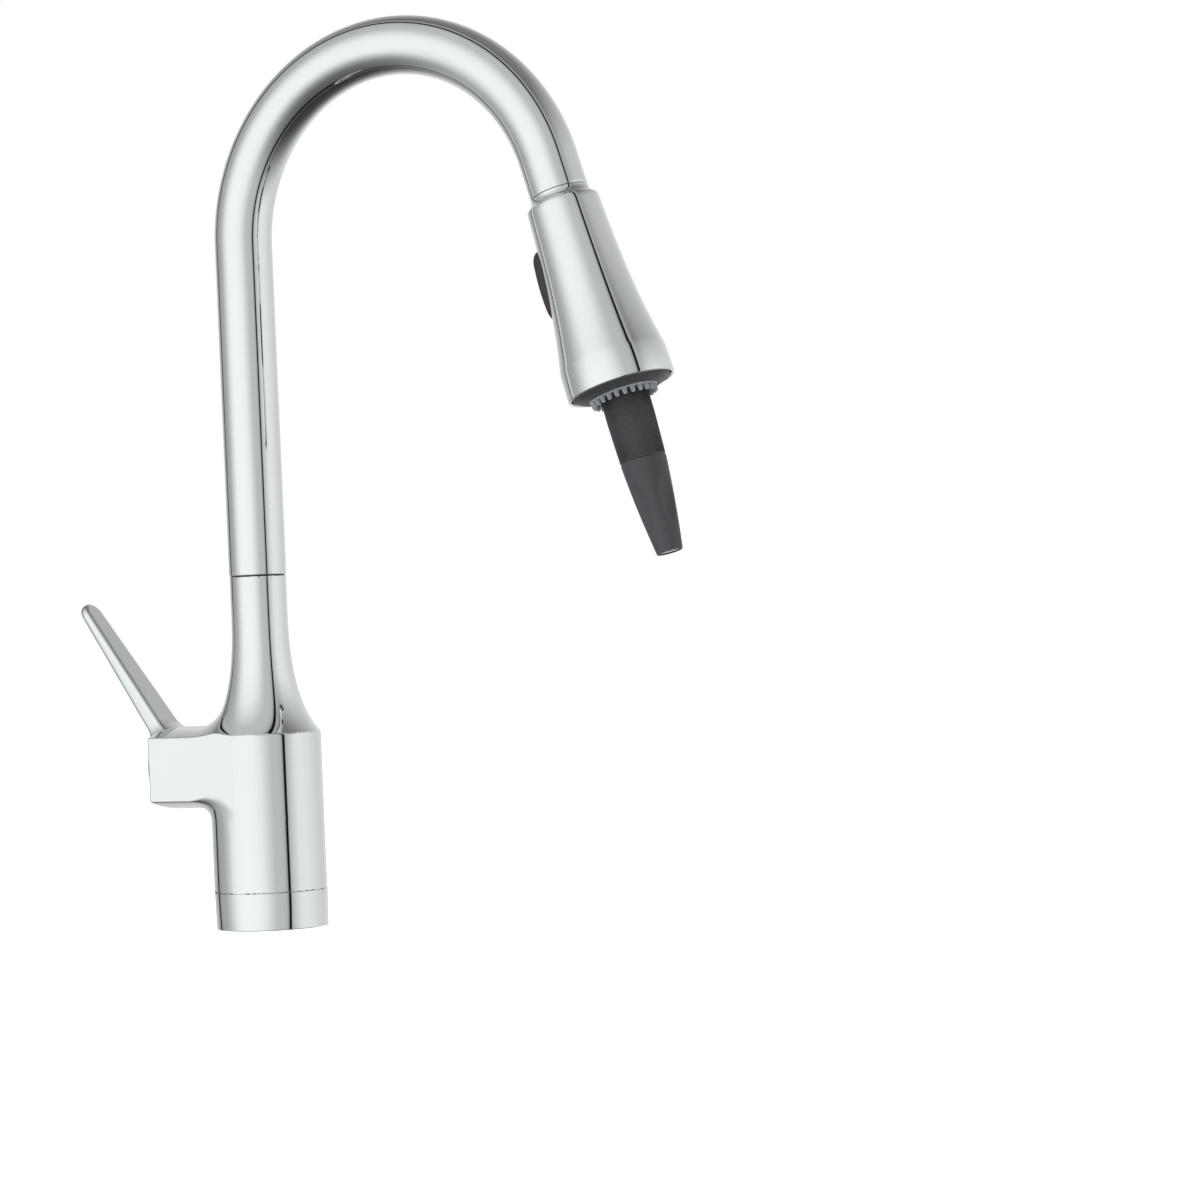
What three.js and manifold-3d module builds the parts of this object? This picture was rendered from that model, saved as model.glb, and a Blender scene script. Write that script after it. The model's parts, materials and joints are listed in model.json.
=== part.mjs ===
// A single-handle pull-down kitchen faucet: a cylindrical body with a side hub and a
// dome handle, a gooseneck spout that swivels, and a spray head that docks on the spout
// and carries a telescoping filling nozzle. Millimetres, +Z up, origin at the middle of
// the deck hole on the deck's surface, +X towards the spray head, -X towards the handle.
import * as THREE from 'three';
import { mergeVertices } from 'three/addons/utils/BufferGeometryUtils.js';
import Module from 'manifold-3d';

const wasm = await Module();
wasm.setup();

// ---------------------------------------------------------------- driving sizes
// Fits
const restGap = 0.3; // between pieces that rest on or sit in each other
const seamGap = 0.5; // the dark line at a visible joint between moving pieces

// Body: base ring, barrel, neck and side hub
const bodyRadius = 25.15;
const baseRingHeight = 16.5;
const creaseHeight = 86.2; // where the barrel's wall breaks into the neck
const neckStraightFrom = 138;
const neckTop = 156.3;
const neckWall = 1.8;
const hubReach = 46; // from the column's axis to the hub's end face
const hubFaceHeight = 28.6;
const hubDome = 4.2; // rise of the hub's roof, and drop of its underside
const gussetRadius = 8;

// Mounting under the deck
const shankRadius = 16.2;
const shankWall = 2;
const shankDrop = 72;
const shankRise = 38;
const deckThickness = 30;
const washerRadius = 27;
const rubberWasherThickness = 3;
const steelWasherThickness = 1.8;
const nutRadius = 26;
const nutHeight = 14;
const nutScrewRadius = 2.5;
const stubRadius = 4;
const stubWall = 0.9;
const stubDrop = 80;

// Spout
const spoutRadius = 12.7;
const spoutWall = 1.3;
const spoutStraightTop = 303.8;
const spoutBendRadius = 80.6;
const spoutBendAngle = THREE.MathUtils.degToRad(162.9);
const spoutStraightEnd = 15.3;
const spigotLength = 46;
const hoseRadius = 5.25;
const bushWall = 0.9;
const bushHeight = 7;

// Cartridge and handle, along the hub's axis
const cartridgeRadius = 14.2;
const cartridgeStart = 12.3;
const cartridgeLength = 24.7;
const ceramicThickness = 3.5;
const movingDiscRadius = 8.8;
const stemRadius = 2.6;
const stemArm = 18.5; // from the handle's pivot to the ball in the disc carrier
const pivotReach = 42; // from the column's axis to the handle's pivot
const domeRadius = 18.2;
const domeWall = 1.2;
const handleTilt = THREE.MathUtils.degToRad(9); // half of the lever's travel
const leverLength = 92; // from the pivot to the lever's tip
const leverRise = THREE.MathUtils.degToRad(46); // between the dome's pole and the lever
const leverRootWidth = 17;
const leverTipWidth = 12;
const leverThickness = 6;

// Spray head, along its own axis from the docking joint down
const headWall = 1.3;
const headCollarRadius = 15.75;
const headCreaseRadius = 23.15;
const headRimRadius = 23.4;
const headCollarEnd = 5.2;
const headCrease = 76;
const headLength = 88.8;
const faceRise = 2.6; // the face bulges past the shell's lip
const faceDepth = 4.4; // from the lip back to the face's seat
const inletRadius = 8.6;
const inletLength = 14;
const ferruleLength = 10.7;
const toggleTop = 20;
const toggleLength = 31;
const toggleWidth = 15.6;
const togglePinAt = 35.5;
const togglePinReach = 16.4; // from the head's axis to the toggle's pin
const togglePinRadius = 1.1;
const nubCount = 24;
const nubRadius = 1.25;
const nubHeight = 2.7;

// Telescoping nozzle, on an axis that leans a little from the head's
const nozzlePivot = 97; // where the two axes cross, along the head
const nozzleLean = THREE.MathUtils.degToRad(1.7);
const sleeveRadius = 10.4;
const sleeveWall = 1.8;
const sleeveEnd = 23.5;
const sleeveStart = -19;
const tipEndRadius = 5.6;
const tipEnd = 64.6;
const channelTop = 17; // where the nozzle's channel ends inside the head
const telescopeRadius = 5.4;

const fine = 32; // sides of the large round pieces
const plain = 18; // sides of the inner round pieces

// ---------------------------------------------------------------- finishes
function finish(color, roughness, metalness) {
  return new THREE.MeshStandardMaterial({ color, roughness, metalness });
}
const chrome = finish(0xdfe3e4, 0.06, 1);
const brass = finish(0xc2a25c, 0.35, 1);
const steel = finish(0xb5b8ba, 0.3, 1);
const blackRubber = finish(0x1d1e1f, 0.85, 0);
const blackPlastic = finish(0x2b2c2f, 0.45, 0);
const togglePlastic = finish(0x2a2524, 0.4, 0);
const nozzlePlastic = finish(0x3a3a3e, 0.5, 0);
const greySilicone = finish(0x7d8185, 0.6, 0);
const whitePlastic = finish(0xdedcd6, 0.5, 0);
const ceramic = finish(0xf2f0ea, 0.2, 0);
const hoseCover = finish(0x3c3d40, 0.6, 0);
const magnetCoat = finish(0x34302d, 0.5, 0);

// ---------------------------------------------------------------- making solids
const faucet = new THREE.Group();

// Adds a mesh to a group, with its place in that group.
function add(group, name, geometry, material, z = 0) {
  const mesh = new THREE.Mesh(geometry, material);
  mesh.name = name;
  mesh.position.z = z;
  group.add(mesh);
  return mesh;
}

// Turns a closed outline of [radius, height] pairs about Z. It runs counter-clockwise.
function revolve(outline, sides = plain) {
  const points = outline.map(([radius, height]) => new THREE.Vector2(radius, height));
  points.push(points[0].clone());
  return new THREE.LatheGeometry(points, sides).rotateX(Math.PI / 2);
}

function ring(outer, inner, low, high, sides = plain) {
  return revolve([[inner, low], [outer, low], [outer, high], [inner, high]], sides);
}

function rod(radius, low, high, sides = plain) {
  const height = high - low;
  const cylinder = new THREE.CylinderGeometry(radius, radius, height, sides);
  return cylinder.rotateX(Math.PI / 2).translate(0, 0, (low + high) / 2);
}

function block(lowX, highX, lowY, highY, lowZ, highZ) {
  const box = new THREE.BoxGeometry(highX - lowX, highY - lowY, highZ - lowZ);
  return box.translate((lowX + highX) / 2, (lowY + highY) / 2, (lowZ + highZ) / 2);
}

// A round plate with round holes through it: holes are [x, y, radius].
function drilledPlate(radius, holes, thickness, sides) {
  const shape = new THREE.Shape();
  shape.absarc(0, 0, radius, 0, Math.PI * 2);
  for (const [x, y, holeRadius] of holes) {
    const hole = new THREE.Path();
    hole.absarc(x, y, holeRadius, 0, Math.PI * 2, true);
    shape.holes.push(hole);
  }
  const options = { depth: thickness, bevelEnabled: false, curveSegments: sides / 2 };
  return new THREE.ExtrudeGeometry(shape, options);
}

// A closed geometry as a manifold solid, with its shared corners merged.
function solid(geometry) {
  const bare = geometry.clone();
  bare.deleteAttribute('normal');
  bare.deleteAttribute('uv');
  const merged = mergeVertices(bare, 1e-4);
  const corners = [];
  const index = merged.index.array;
  for (let i = 0; i < index.length; i += 3) {
    const [a, b, c] = [index[i], index[i + 1], index[i + 2]];
    if (a !== b && b !== c && c !== a) corners.push(a, b, c);
  }
  return new wasm.Manifold(new wasm.Mesh({
    numProp: 3,
    vertProperties: new Float32Array(merged.attributes.position.array),
    triVerts: new Uint32Array(corners),
  }));
}

function geometryOf(manifold) {
  const mesh = manifold.getMesh();
  const geometry = new THREE.BufferGeometry();
  geometry.setAttribute('position', new THREE.BufferAttribute(mesh.vertProperties, 3));
  geometry.setIndex(new THREE.BufferAttribute(mesh.triVerts, 1));
  geometry.computeVertexNormals();
  return geometry;
}

function join(...geometries) {
  return geometryOf(geometries.map(solid).reduce((all, next) => all.add(next)));
}

function cut(blank, ...cutters) {
  return geometryOf(cutters.map(solid).reduce((rest, tool) => rest.subtract(tool), solid(blank)));
}

// Points of a cubic curve, as [radius, height] pairs.
function curved(start, pullStart, pullEnd, end, count) {
  const ends = [start, pullStart, pullEnd, end].map(([x, y]) => new THREE.Vector2(x, y));
  return new THREE.CubicBezierCurve(...ends).getPoints(count).map((p) => [p.x, p.y]);
}

// ---------------------------------------------------------------- body on the deck
const hubHeight = creaseHeight - hubFaceHeight / 2;
const neckRadius = spoutRadius - 0.2;
const neckBore = neckRadius - neckWall;
const hosePassage = hoseRadius + 1.95;
const spigotBottom = neckTop - spigotLength;
const shankBore = shankRadius + restGap + 0.1;
const barrelBottom = baseRingHeight + restGap;
const shankCeiling = shankRise + 2;
const gasketInner = shankBore + 3;
const gasketOuter = gasketInner + 3.5;
const gasketHeight = 2.4;

// The ring the body stands on, with a groove for its gasket.
add(faucet, 'base_ring', revolve([
  [shankBore, restGap], [gasketInner - restGap, restGap],
  [gasketInner - restGap, gasketHeight + restGap], [gasketOuter + restGap, gasketHeight + restGap],
  [gasketOuter + restGap, restGap], [bodyRadius, restGap],
  [bodyRadius, baseRingHeight], [shankBore, baseRingHeight],
], fine), chrome);
add(faucet, 'base_gasket', ring(gasketOuter, gasketInner, 0, gasketHeight), blackRubber);

// Straight cylinder up to the crease, then a neck that narrows in a long hollow curve.
const neckCurve = curved(
  [bodyRadius, creaseHeight],
  [bodyRadius - 6.75, creaseHeight + 7.8],
  [neckRadius, neckStraightFrom - 30],
  [neckRadius, neckStraightFrom],
  7,
);
const barrel = revolve([
  [0, barrelBottom], [bodyRadius, barrelBottom], ...neckCurve,
  [neckRadius, neckTop], [0, neckTop],
], fine);

// The hub's section has an upright face at the front and back, and a shallow domed
// roof and underside that start at a crisp edge.
function hubSection() {
  const half = hubFaceHeight / 2;
  const domeSteps = 8;
  const across = [...Array(domeSteps + 1).keys()].map((i) => (2 * i) / domeSteps - 1);
  const roof = across.map((k) => [half + hubDome * (1 - k * k), bodyRadius * k]);
  const under = across.map((k) => [-half - hubDome * (1 - k * k), -bodyRadius * k]);
  return new THREE.Shape([...roof, ...under].map(([up, side]) => new THREE.Vector2(up, side)));
}
const hubBlank = new THREE.ExtrudeGeometry(hubSection(), { depth: hubReach, bevelEnabled: false });
const hubMatrix = new THREE.Matrix4().makeRotationY(-Math.PI / 2).setPosition(0, 0, hubHeight);
const inHub = (geometry) => geometry.clone().applyMatrix4(hubMatrix);

// A hollow fillet fills the corner between the hub's underside and the barrel.
function gusset() {
  const wall = bodyRadius - 5;
  const corner = new THREE.Shape();
  corner.moveTo(-wall, -gussetRadius);
  corner.lineTo(-bodyRadius, -gussetRadius);
  corner.absarc(-bodyRadius - gussetRadius, -gussetRadius, gussetRadius, 0, Math.PI / 2);
  corner.lineTo(-bodyRadius - gussetRadius, 1);
  corner.lineTo(-wall, 1);
  const width = 26;
  const web = new THREE.ExtrudeGeometry(corner, { depth: width, bevelEnabled: false, curveSegments: 5 });
  const top = hubHeight - hubFaceHeight / 2 - hubDome * 0.72;
  return web.rotateX(Math.PI / 2).translate(0, width / 2, top);
}

const stubCircle = hoseRadius + stubRadius + restGap + 0.05;
const stubAngles = { hot: 150, cold: 270, outlet: 30 };
const stubPlace = Object.fromEntries(Object.entries(stubAngles).map(([name, degrees]) => {
  const angle = THREE.MathUtils.degToRad(degrees);
  return [name, [stubCircle * Math.cos(angle), stubCircle * Math.sin(angle)]];
}));
const stubSocketDepth = 6;
const stubSockets = Object.values(stubPlace).map(([x, y]) => (
  rod(stubRadius + restGap, shankCeiling - 1, shankCeiling + stubSocketDepth, 12).translate(x, y, 0)
));
const lockScrewHeight = neckTop - 26;
const lockScrewRadius = 2;
const lockScrewHole = rod(lockScrewRadius + restGap, 0, neckRadius + 4, 12)
  .rotateX(-Math.PI / 2).translate(0, 0, lockScrewHeight);
const cartridgeBore = inHub(rod(cartridgeRadius + restGap, cartridgeStart - 2.3, hubReach + 1, fine));

add(faucet, 'body_casting', cut(
  join(barrel, inHub(hubBlank), gusset()),
  rod(shankBore, barrelBottom - 1, shankCeiling, fine),
  rod(hosePassage, shankCeiling - 1, spigotBottom, plain),
  rod(neckBore, spigotBottom - 2, neckTop + 1, fine),
  cartridgeBore,
  lockScrewHole,
  ...stubSockets,
), chrome);

// ---------------------------------------------------------------- under the deck
add(faucet, 'mounting_shank', ring(shankRadius, shankRadius - shankWall, -shankDrop, shankRise, fine), brass);
const rubberTop = -deckThickness;
const steelTop = rubberTop - rubberWasherThickness - restGap;
const nutTop = steelTop - steelWasherThickness - restGap;
const nutBottom = nutTop - nutHeight;
const nutBore = shankRadius + restGap + 0.1;
add(faucet, 'deck_washer_rubber',
  ring(washerRadius, nutBore, rubberTop - rubberWasherThickness, rubberTop, fine), blackRubber);
add(faucet, 'deck_washer_steel',
  ring(washerRadius - 0.5, nutBore, steelTop - steelWasherThickness, steelTop, fine), steel);

const nutScrewCircle = (nutBore + nutRadius) / 2;
const nutScrewHole = rod(nutScrewRadius + restGap, nutBottom - 1, nutTop + 1, 12);
add(faucet, 'mounting_nut', cut(
  rod(nutRadius, nutBottom, nutTop, 12),
  rod(nutBore, nutBottom - 1, nutTop + 1, fine),
  nutScrewHole.clone().translate(-nutScrewCircle, 0, 0),
  nutScrewHole.clone().translate(nutScrewCircle, 0, 0),
), brass);
for (const [name, side] of [['nut_screw_left', -1], ['nut_screw_right', 1]]) {
  const headHeight = 4;
  const bottom = nutBottom - 8;
  const screw = revolve([
    [0, bottom - headHeight], [nutScrewRadius + 1.6, bottom - headHeight],
    [nutScrewRadius + 1.6, bottom], [nutScrewRadius, bottom],
    [nutScrewRadius, nutTop], [0, nutTop],
  ], 12);
  add(faucet, name, screw, steel).position.x = side * nutScrewCircle;
}

for (const [name, [x, y]] of Object.entries(stubPlace)) {
  const top = shankCeiling + stubSocketDepth - 2;
  const stub = ring(stubRadius, stubRadius - stubWall, -stubDrop, top, 12);
  add(faucet, `${name}_stub`, stub, brass).position.set(x, y, 0);
}

// ---------------------------------------------------------------- swivel and spout
const spoutBottom = neckTop + seamGap;
const spoutInner = spoutRadius - spoutWall;
const bushOuter = neckBore - restGap;
const bushInner = bushOuter - bushWall;
const spigotRadius = bushInner - restGap;
const adapterRadius = spoutInner - restGap - 0.1;
const adapterBore = hoseRadius + 1.2;
const grooveDepth = 0.8;
const lockGrooveHalf = lockScrewRadius + 1;
const ringGroove = neckTop - 8;
const ringGrooveHeight = 3;

add(faucet, 'swivel_bush_lower',
  ring(bushOuter, bushInner, spigotBottom + 2, spigotBottom + 2 + bushHeight), whitePlastic);
add(faucet, 'swivel_bush_upper',
  ring(bushOuter, bushInner, ringGroove + ringGrooveHeight + 1, neckTop - 0.5), whitePlastic);
const lockScrewTip = spigotRadius - grooveDepth + restGap;
const lockScrew = rod(lockScrewRadius, lockScrewTip, neckRadius - 0.2, 12).rotateX(-Math.PI / 2);
add(faucet, 'swivel_lock_screw', lockScrew, steel, lockScrewHeight);

const spout = new THREE.Group();
faucet.add(spout);

// The brass adapter is soldered in the tube's end and turns in the neck's bushes.
add(spout, 'spout_adapter', revolve([
  [adapterBore, spigotBottom + 1], [spigotRadius, spigotBottom + 1],
  [spigotRadius, lockScrewHeight - lockGrooveHalf],
  [spigotRadius - grooveDepth, lockScrewHeight - lockGrooveHalf],
  [spigotRadius - grooveDepth, lockScrewHeight + lockGrooveHalf],
  [spigotRadius, lockScrewHeight + lockGrooveHalf],
  [spigotRadius, ringGroove], [spigotRadius - grooveDepth, ringGroove],
  [spigotRadius - grooveDepth, ringGroove + ringGrooveHeight],
  [spigotRadius, ringGroove + ringGrooveHeight],
  [spigotRadius, spoutBottom + 0.2], [adapterRadius, spoutBottom + 0.2],
  [adapterRadius, spoutBottom + 22], [adapterBore, spoutBottom + 22],
]), brass);
add(spout, 'friction_ring', ring(
  neckBore - restGap, spigotRadius - grooveDepth + restGap,
  ringGroove + restGap, ringGroove + ringGrooveHeight - restGap,
), blackRubber);

// The centre line: up the column, over in one bend, and a short straight end.
class SpoutLine extends THREE.Curve {
  constructor(startHeight, endLength) {
    super();
    this.rise = spoutStraightTop - startHeight;
    this.bend = spoutBendRadius * spoutBendAngle;
    this.startHeight = startHeight;
    this.total = this.rise + this.bend + endLength;
  }

  getPoint(t, target = new THREE.Vector3()) {
    const run = t * this.total;
    if (run <= this.rise) return target.set(0, 0, this.startHeight + run);
    const angle = Math.min(run - this.rise, this.bend) / spoutBendRadius;
    const rest = Math.max(run - this.rise - this.bend, 0);
    const x = spoutBendRadius * (1 - Math.cos(angle)) + rest * Math.sin(angle);
    const z = spoutStraightTop + spoutBendRadius * Math.sin(angle) + rest * Math.cos(angle);
    return target.set(x, 0, z);
  }
}

function swept(radius, holeRadius, line, steps, sides) {
  const section = new THREE.Shape();
  section.absarc(0, 0, radius, 0, Math.PI * 2);
  if (holeRadius > 0) {
    const hole = new THREE.Path();
    hole.absarc(0, 0, holeRadius, 0, Math.PI * 2, true);
    section.holes.push(hole);
  }
  return new THREE.ExtrudeGeometry(section, { extrudePath: line, steps, curveSegments: sides / 2 });
}

add(spout, 'spout_tube', swept(
  spoutRadius, spoutInner, new SpoutLine(spoutBottom, spoutStraightEnd), 32, 16,
), chrome);

// The hose runs through the shank, body and spout, and ends at the head's ferrule.
const ferruleStart = -inletLength - restGap - ferruleLength;
const hoseEnd = spoutStraightEnd + ferruleStart - restGap - 0.9;
add(spout, 'pull_hose', swept(hoseRadius, 0, new SpoutLine(-stubDrop, hoseEnd), 44, 8), hoseCover);
add(spout, 'hose_coupling', revolve([
  [0, -stubDrop - 16], [hoseRadius - 1, -stubDrop - 16], [hoseRadius - 1, -stubDrop - 8],
  [hoseRadius + 0.2, -stubDrop - 8], [hoseRadius + 0.2, -stubDrop - restGap], [0, -stubDrop - restGap],
], 12), whitePlastic);

// ---------------------------------------------------------------- cartridge and handle
const hub = new THREE.Group();
hub.position.z = hubHeight;
hub.rotation.y = -Math.PI / 2; // the group's Z points out of the hub, its X points up
faucet.add(hub);

const cartridgeEnd = cartridgeStart + cartridgeLength;
const cupWall = 1.8;
const cupInner = cartridgeRadius - cupWall;
const discStart = cartridgeStart + 2 + restGap;
const movingStart = discStart + ceramicThickness + restGap;
const carrierStart = movingStart + ceramicThickness + restGap;
const carrierEnd = carrierStart + 3.4;
const yokeStart = carrierEnd + restGap + 0.2;
const yokeNeck = cartridgeRadius - 5;
const nutEnd = hubReach - 0.5;
const yokeEnd = nutEnd;
const slotHalfWidth = stemRadius + 0.9;
const slotHalfLength = (stemArm - 1) * Math.sin(handleTilt) + stemRadius + 0.9;
const ballRadius = stemRadius + 0.2;
const ballDrop = stemArm * Math.sin(handleTilt);

add(hub, 'cartridge_seal', ring(cupInner, 6, cartridgeStart - 2, cartridgeStart - restGap), blackRubber);
add(hub, 'cartridge_cup', revolve([
  [4, cartridgeStart], [cartridgeRadius, cartridgeStart], [cartridgeRadius, cartridgeEnd],
  [cupInner, cartridgeEnd], [cupInner, cartridgeStart + 2], [4, cartridgeStart + 2],
], 36), whitePlastic);
const ports = [90, 210, 330].map((degrees) => {
  const angle = THREE.MathUtils.degToRad(degrees);
  return [6.6 * Math.cos(angle), 6.6 * Math.sin(angle), 2.2];
});
add(hub, 'ceramic_disc_fixed',
  drilledPlate(cupInner - restGap, ports, ceramicThickness, 12), ceramic, discStart);
const mixing = [[0, 0, 2.4]];
const movingDisc = drilledPlate(movingDiscRadius, mixing, ceramicThickness, 12);
add(hub, 'ceramic_disc_moving', movingDisc, ceramic, movingStart).position.x = -ballDrop;
const carrier = ring(movingDiscRadius, ballRadius + 0.35, carrierStart, carrierEnd);
add(hub, 'disc_carrier', carrier, whitePlastic).position.x = -ballDrop;

// The yoke turns in the cup, and the stem tilts in the yoke's slot on a cross pin.
const yokeBlank = revolve([
  [0, yokeStart], [cupInner - restGap, yokeStart], [cupInner - restGap, cartridgeEnd - 0.2],
  [yokeNeck, cartridgeEnd - 0.2], [yokeNeck, yokeEnd], [0, yokeEnd],
]);
const pinRadius = 1.1;
const pinHole = rod(pinRadius + restGap, -yokeNeck - 5, yokeNeck + 5, 10).rotateX(Math.PI / 2)
  .translate(0, 0, pivotReach);
add(hub, 'mixing_yoke', cut(
  yokeBlank,
  block(-slotHalfLength, slotHalfLength, -slotHalfWidth, slotHalfWidth, yokeStart - 1, yokeEnd + 1),
  pinHole,
), whitePlastic);
const stemPin = rod(pinRadius, -yokeNeck + 0.6, yokeNeck - 0.6, 10).rotateX(Math.PI / 2);
add(hub, 'stem_pin', stemPin, steel, pivotReach);
add(hub, 'cartridge_nut',
  ring(cartridgeRadius, yokeNeck + restGap, cartridgeEnd + restGap, nutEnd, 36), brass);

// The fixed dome under the handle is a ring of a sphere about the pivot.
function sphereArc(radius, fromAngle, toAngle, count) {
  return [...Array(count + 1).keys()].map((i) => {
    const angle = fromAngle + ((toAngle - fromAngle) * i) / count;
    return [radius * Math.sin(angle), radius * Math.cos(angle)];
  });
}
const bonnetOuter = domeRadius - domeWall - restGap - 0.1;
const bonnetInner = bonnetOuter - 1.4;
const bonnetMouthRadius = 9.1; // clears the boss inside the handle as it tips
const bonnetMouth = Math.asin(bonnetMouthRadius / bonnetInner);
const bonnetFoot = Math.acos((hubReach + restGap - pivotReach) / bonnetOuter);
const bonnetInnerFoot = Math.acos((hubReach + restGap - pivotReach) / bonnetInner);
add(hub, 'handle_bonnet', revolve([
  ...sphereArc(bonnetOuter, bonnetFoot, bonnetMouth, 4),
  ...sphereArc(bonnetInner, bonnetMouth, bonnetInnerFoot, 4),
], 28), chrome, pivotReach);

const lever = new THREE.Group();
lever.position.z = pivotReach;
lever.rotation.y = handleTilt; // shut: the dome's pole looks a little upwards
hub.add(lever);

const stemTop = domeRadius - 3;
const stemShaft = rod(stemRadius, -stemArm, stemTop, 12);
const stemBall = new THREE.SphereGeometry(ballRadius, 12, 8).translate(0, 0, -stemArm);
const stemEye = rod(pinRadius + restGap, -10, 10, 10).rotateX(Math.PI / 2);
add(lever, 'cartridge_stem', cut(join(stemShaft, stemBall), stemEye), steel);

// The handle: a thin dome with a boss inside and a tapering lever blade.
function leverBlade() {
  const start = domeRadius - 6;
  const outline = new THREE.Shape();
  const tip = leverTipWidth / 2;
  outline.moveTo(start, -leverRootWidth / 2);
  outline.lineTo(leverLength - tip, -tip);
  outline.absarc(leverLength - tip, 0, tip, -Math.PI / 2, Math.PI / 2);
  outline.lineTo(start, leverRootWidth / 2);
  const options = { depth: leverThickness, bevelEnabled: false, curveSegments: 8 };
  const blade = new THREE.ExtrudeGeometry(outline, options).translate(0, 0, -leverThickness / 2);
  return blade.rotateY(leverRise - Math.PI / 2);
}
const ball = (radius, across, along) => new THREE.SphereGeometry(radius, across, along).rotateX(Math.PI / 2);
const bossRadius = stemRadius + 3.4;
const adapterOuter = stemRadius + 1.3;
const mouthClearance = 0.8; // between the tilted dome's edge and the hub's end face
const mouthAngle = Math.acos((hubReach + mouthClearance - pivotReach) / domeRadius) - handleTilt;
const mouthHeight = domeRadius * Math.cos(mouthAngle);
const setScrewHeight = stemTop - 3;
const setScrewRadius = 1.8;
const setScrewHole = rod(setScrewRadius + restGap, 0, domeRadius + 4, 10)
  .rotateY(-Math.PI / 2).translate(0, 0, setScrewHeight);
const domeShell = cut(
  join(ball(domeRadius, 28, 16), leverBlade()),
  ball(domeRadius - domeWall, 28, 14),
  block(-50, 50, -50, 50, -50, mouthHeight),
);
const bossBottom = domeRadius - 8;
const boss = cut(
  rod(bossRadius, bossBottom, domeRadius - 0.6),
  rod(adapterOuter + restGap, bossBottom - 1, stemTop + 1.2),
);
add(lever, 'handle', cut(join(domeShell, boss), setScrewHole), chrome);
add(lever, 'stem_adapter',
  ring(adapterOuter, stemRadius + restGap, bossBottom - 2, stemTop + 0.8, 16), whitePlastic);
const setScrew = rod(setScrewRadius, adapterOuter + restGap, bossRadius + 0.6, 10).rotateY(-Math.PI / 2);
add(lever, 'handle_set_screw', setScrew, steel, setScrewHeight);
const plugSeat = Math.sqrt(domeRadius ** 2 - setScrewHeight ** 2);
const indexPlug = rod(setScrewRadius, plugSeat - 0.5, plugSeat - 0.1, 10).rotateY(-Math.PI / 2);
add(lever, 'index_plug', indexPlug, blackPlastic, setScrewHeight);

// ---------------------------------------------------------------- spray head
// The group's Z runs down the head from the docking joint, and its X points to the column.
const head = new THREE.Group();
const dock = new SpoutLine(spoutBottom, spoutStraightEnd).getPoint(1);
head.position.copy(dock);
head.rotation.y = spoutBendAngle;
spout.add(head);

const dockInner = inletRadius + 0.5;
const dockOuter = spoutInner - restGap;
const magnetLength = 3.2;
const magnetTop = -0.8 - magnetLength;
const collarFrom = -spoutStraightEnd + 1.5;
add(head, 'dock_collar', ring(dockOuter, dockInner, collarFrom, magnetTop - restGap), blackPlastic);
add(head, 'dock_magnet', ring(dockOuter, dockInner, magnetTop, magnetTop + magnetLength), magnetCoat);

const coverGroove = 7;
add(head, 'inlet_stem', revolve([
  [4.2, -inletLength], [inletRadius, -inletLength],
  [inletRadius, -coverGroove - 2.6], [inletRadius - 1.2, -coverGroove - 2.6],
  [inletRadius - 1.2, -coverGroove], [inletRadius, -coverGroove],
  [inletRadius, 2.6], [4.2, 2.6],
]), whitePlastic);
add(head, 'stem_o_ring',
  ring(inletRadius + 0.2, inletRadius - 0.9, -coverGroove - 2.3, -coverGroove - restGap), blackRubber);
add(head, 'check_valve', ring(3.9, 1.5, -inletLength + 3, 0, 16), whitePlastic);
add(head, 'hose_ferrule', ring(hoseRadius + 1.1, 3, ferruleStart, -inletLength - restGap), steel);

// The shell: a hollowed collar under the joint, a flared wall, a crease and a skirt.
function headOutline(inset) {
  const collar = curved(
    [spoutRadius, 0.4],
    [spoutRadius, 2.9],
    [headCollarRadius - 1.5, 4],
    [headCollarRadius - 0.2, headCollarEnd - 0.5],
    3,
  );
  const flare = curved(
    [headCollarRadius, headCollarEnd],
    [headCollarRadius + 1.35, headCollarEnd + 29.8],
    [headCreaseRadius - 4.85, headCrease - 24],
    [headCreaseRadius, headCrease],
    6,
  );
  const wall = flare.map(([radius, along]) => [radius - inset, along]);
  return inset > 0 ? wall : [...collar, ...wall];
}
const faceSeat = headLength - faceDepth;
const innerWall = headOutline(headWall).reverse();
const inletHole = inletRadius + 0.7;
const shellTop = 0.4 + headWall;
const shellBlank = revolve([
  [inletHole, 0.4], ...headOutline(0),
  [headRimRadius, headLength - 0.8], [headRimRadius - 0.5, headLength],
  [headRimRadius - headWall, headLength], ...innerWall,
  [headCollarRadius - headWall - 1.6, shellTop + 1], [inletHole, shellTop],
], fine);
const windowGap = 0.4;
const toggleWindow = block(
  headCollarRadius - 4, headRimRadius + 5,
  -toggleWidth / 2 - windowGap, toggleWidth / 2 + windowGap,
  toggleTop - windowGap, toggleTop + toggleLength + windowGap,
);
add(head, 'head_shell', cut(shellBlank, toggleWindow), chrome);

const nozzleMatrix = new THREE.Matrix4().makeRotationY(nozzleLean).setPosition(0, 0, nozzlePivot);
const inNozzle = (geometry) => geometry.clone().applyMatrix4(nozzleMatrix);
const channelRadius = sleeveRadius + 0.85;
const channelStart = channelTop - nozzlePivot;
const guideInner = sleeveRadius + restGap;
const guideOuter = guideInner + 0.8;
const flangeThickness = 2.5;
const guideTop = sleeveStart + flangeThickness + restGap;
const pocketFloor = togglePinReach - 3.3;
const spoolTop = pocketFloor - 0.5;
const spoolBottom = spoolTop - 2;
const spoolHalfWidth = 2.2;
const spoolHalfLength = 11.5;
const toothHalf = 1.2;
const toothTip = spoolTop - 1;
const earFrom = toggleWidth / 2 - 2.3; // the core's two ears carry the ends of the toggle's pin
const earTo = toggleWidth / 2 - 0.8;
const earHalf = 1.6;
const earTop = togglePinReach + earHalf;
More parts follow.
